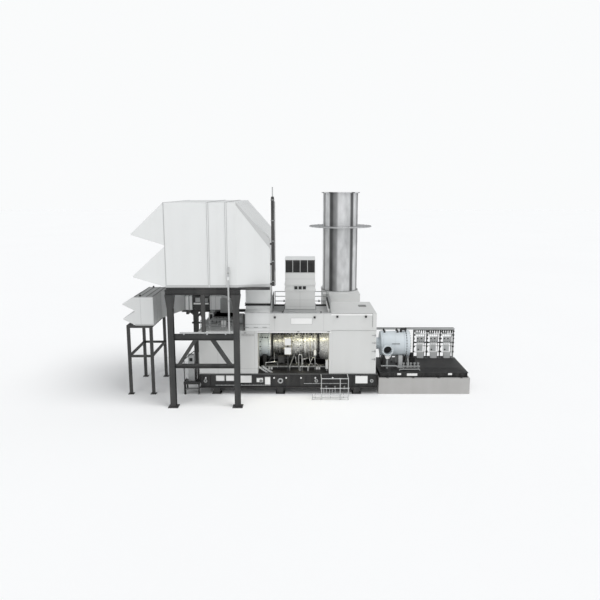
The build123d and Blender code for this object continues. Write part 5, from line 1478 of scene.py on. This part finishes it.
class PACKAGE_OT_small_fittings(bpy.types.Operator):
    """Set the mast clamps, drain clips, landing treads, hand wheels and pipe flanges"""

    bl_idname = "package.small_fittings"
    bl_label = "Small fittings"

    def execute(self, context):
        make = Maker()
        top = span("mast")[5]
        pole = (-1.76, -3.95)
        base, cap = 13.8, top - 0.012
        make.grow("bar_row", (5, (0, 0, 1.31), (0.26, 0.26, 0.05)), (*pole, 8.35), RAIL)
        make.pipe([(-1.62, -3.95, 8.05), (-1.62, -3.95, 13.5)], 0.018, CABLE, 6)
        make.post((*pole, 13.74), base, 0.09, STEEL, 16)
        make.post((*pole, cap), top, 0.05, RAIL, 12)
        make.post((*pole, base), cap, 0.037, GREY, 12)
        y = span("drain_pipe")[2] + 0.058
        for z in (9.0, 7.2, 5.9):
            make.collar((-4.59, y, z), UPWARD, 0.05, 0.075, 0.06, RAIL, 16)
        make.post((-4.59, y, 8.55), 8.75, 0.085, WHITE, 14)
        make.collar((-6.2, y, 5.09), ALONG, 0.05, 0.075, 0.06, RAIL, 16)
        make.grow(
            "bar_row", (26, (0.043, 0, 0), (0.006, 1.1, 0.012)), (-8.17, -1.725, 0.805), RAIL)
        make.boxes(
            STEEL, (-8.2, -7.05, -2.3, -2.288, 0.8, 0.9), (-8.2, -8.188, -2.3, -1.15, 0.8, 0.9))
        make.box(-8.15, -7.1, -2.28, -2.0, 0.36, 0.4, RAIL)
        for x in (-8.1, -7.15):
            make.box(x - 0.02, x + 0.02, -2.28, -2.0, 0.0, 0.76, STEEL)
        cabinet = span("end_cabinet")
        make.box(cabinet[0] + 0.03, cabinet[1] - 0.03, cabinet[2] - 0.014, cabinet[2],
                 cabinet[4] + 0.05, cabinet[5] - 0.05, GREY)
        make.box(cabinet[1] - 0.09, cabinet[1] - 0.06, cabinet[2] - 0.04, cabinet[2] - 0.014, 1.7,
                 1.9, BLACK)
        # Near-black window on the cabinet: painted shade inside.
        make.box(cabinet[0] + 0.1, cabinet[1] - 0.12, cabinet[2] - 0.018, cabinet[2] - 0.014, 2.25,
                 2.5, SHADE_BLACK)
        for k in range(3):
            make.box(-7.44 + 0.13 * k, -7.36 + 0.13 * k, -1.7, -1.55, 0.8, 2.2 - 0.3 * k, BLACK)
        make.pipe([(-7.2, -1.5, 0.8), (-7.2, -1.5, 2.9), (-7.05, -1.5, 2.9)], 0.035, RAIL, 8, 0.1)
        y = span("front_pipes")[2] + 0.03
        for x, z in ((1.47, 0.82), (2.76, 0.82), (3.32, 0.82), (1.47, 0.42), (2.76, 0.42),
                     (1.47, 0.18), (2.76, 0.18), (2.76, 1.51)):
            make.rod((x - 0.07, y, z), (x + 0.07, y, z), 0.042, GREY, 12)
        for x in (1.05, 2.1, 3.0):
            for z in (0.18, 0.42):
                make.collar((x, y, z), ALONG, 0.028, 0.058, 0.03, RAIL, 14)
        for k in range(5):
            make.post((1.62 + 0.2 * k, y, 0.42), 0.8 - 0.05 * (k % 2), 0.016, GREY, 8)
        for x in (1.8, 2.4, 3.05):
            make.post((x, y, 0.82), 0.96, 0.018, RAIL, 8)
            make.collar((x, y, 0.97), UPWARD, 0.035, 0.062, 0.016, RAIL, 16)
            make.box(x - 0.045, x + 0.045, y - 0.04, y + 0.04, 0.775, 0.865, GREY)
        make.done("small_fittings", smooth=True)
        return {"FINISHED"}


LAMPS = {"key": ((-20.0, -44.0, 46.0), 0.44, 28.0), "front": ((-8.0, -50.0, 13.0), 0.46, 20.0),
         "top": ((26.0, -14.0, 52.0), 1.36, 34.0)}
LAMP_AIM = Vector((0, 0, 4))
FLOOR_REACH = 400.0
FLOOR_TONES = (0.955, 0.98)
EYE_SHIFT = Vector((-12.0, -43.1, 14.2))
EYE_TILT = math.radians(79.7)
FOCAL_MM = 36.24


class PACKAGE_OT_stage(bpy.types.Operator):
    """Set the floor, the lamps, the sky and the camera"""

    bl_idname = "package.stage"
    bl_label = "Stage"

    def execute(self, context):
        scene = context.scene
        scene.view_settings.view_transform = "Standard"
        scene.world = bpy.data.worlds.new("sky")
        scene.world.use_nodes = True
        tree = scene.world.node_tree
        tree.nodes.clear()
        seen = node(tree, "ShaderNodeBackground", {"Color": (0.955, 0.965, 0.97, 1)})
        fill = node(
            tree, "ShaderNodeBackground", {"Color": (0.96, 0.98, 1.0, 1), "Strength": 0.52})
        ray = node(tree, "ShaderNodeLightPath", {})
        blend = node(tree, "ShaderNodeMixShader",
                     {0: ray["Is Camera Ray"], 1: fill["Background"], 2: seen["Background"]})
        node(tree, "ShaderNodeOutputWorld", {"Surface": blend["Shader"]})
        mesh = bpy.data.meshes.new("floor")
        r = FLOOR_REACH
        mesh.from_pydata([(-r, -r, 0), (r, -r, 0), (r, r, 0), (-r, r, 0)], [], [(0, 1, 2, 3)])
        floor = bpy.data.objects.new("floor", mesh)
        scene.collection.objects.link(floor)
        pale = bpy.data.materials.new("floor_pale")
        pale.use_nodes = True
        tree = pale.node_tree
        shader = tree.nodes["Principled BSDF"]
        shader.inputs["Roughness"].default_value = 0.9
        shader.inputs["Specular IOR Level"].default_value = 0.0
        noise = node(tree, "ShaderNodeTexNoise", {"Scale": 0.05, "Vector": object_place(tree)})
        ramp = tree.nodes.new("ShaderNodeValToRGB")
        for stop, level in zip(ramp.color_ramp.elements, FLOOR_TONES):
            stop.color = (level, level, level, 1)
        tree.links.new(noise["Fac"], ramp.inputs["Fac"])
        tree.links.new(ramp.outputs["Color"], shader.inputs["Base Color"])
        mesh.materials.append(pale)
        for name, (place, power, spread) in LAMPS.items():
            lamp = bpy.data.lights.new(name, "SUN")
            lamp.energy = power
            lamp.angle = math.radians(spread)
            thing = bpy.data.objects.new(name, lamp)
            thing.rotation_euler = (LAMP_AIM - Vector(place)).to_track_quat("-Z", "Y").to_euler()
            scene.collection.objects.link(thing)
        lens = bpy.data.cameras.new("camera")
        lens.sensor_width = 36.0
        lens.lens = FOCAL_MM
        lens.clip_end = 500.0
        eye = bpy.data.objects.new("camera", lens)
        eye.location = Vector((PLINTH_HIGH.x, MID_Y, 0)) + EYE_SHIFT
        eye.rotation_euler = (EYE_TILT, 0, 0)
        scene.collection.objects.link(eye)
        scene.camera = eye
        return {"FINISHED"}


class PACKAGE_PT_panel(bpy.types.Panel):
    """Lists the package's pieces"""

    bl_idname = "PACKAGE_PT_panel"
    bl_label = "Gas turbine package"
    bl_space_type = "VIEW_3D"
    bl_region_type = "UI"
    bl_category = "Package"

    def draw(self, context):
        for step in STEPS:
            self.layout.operator(step.bl_idname)


STEPS = (
    PACKAGE_OT_finishes, PACKAGE_OT_house_skin, PACKAGE_OT_hood_screens, PACKAGE_OT_enclosure_trim,
    PACKAGE_OT_lifting_lugs, PACKAGE_OT_tower_dress, PACKAGE_OT_roof_fittings,
    PACKAGE_OT_engine_casings, PACKAGE_OT_engine_bolts, PACKAGE_OT_engine_pipes,
    PACKAGE_OT_bay_fittings, PACKAGE_OT_skid_fittings, PACKAGE_OT_driven_casing,
    PACKAGE_OT_driven_fittings, PACKAGE_OT_rack_dress, PACKAGE_OT_stack_skin,
    PACKAGE_OT_vent_dress, PACKAGE_OT_frame_joints, PACKAGE_OT_small_fittings, PACKAGE_OT_stage)
CLASSES = (PACKAGE_PG_finish, PACKAGE_PG_sizes) + STEPS + (PACKAGE_PT_panel,)


def register():
    """Add the classes and the settings."""
    for kind in CLASSES:
        bpy.utils.register_class(kind)
    bpy.types.Scene.package_finish = PointerProperty(type=PACKAGE_PG_finish)
    bpy.types.Scene.package_sizes = PointerProperty(type=PACKAGE_PG_sizes)


def unregister():
    """Remove the settings and the classes."""
    del bpy.types.Scene.package_finish
    del bpy.types.Scene.package_sizes
    for kind in reversed(CLASSES):
        bpy.utils.unregister_class(kind)


def main():
    """Build every piece."""
    register()
    for step in STEPS:
        group, call = step.bl_idname.split(".")
        getattr(getattr(bpy.ops, group), call)()


if __name__ == "__main__":
    main()
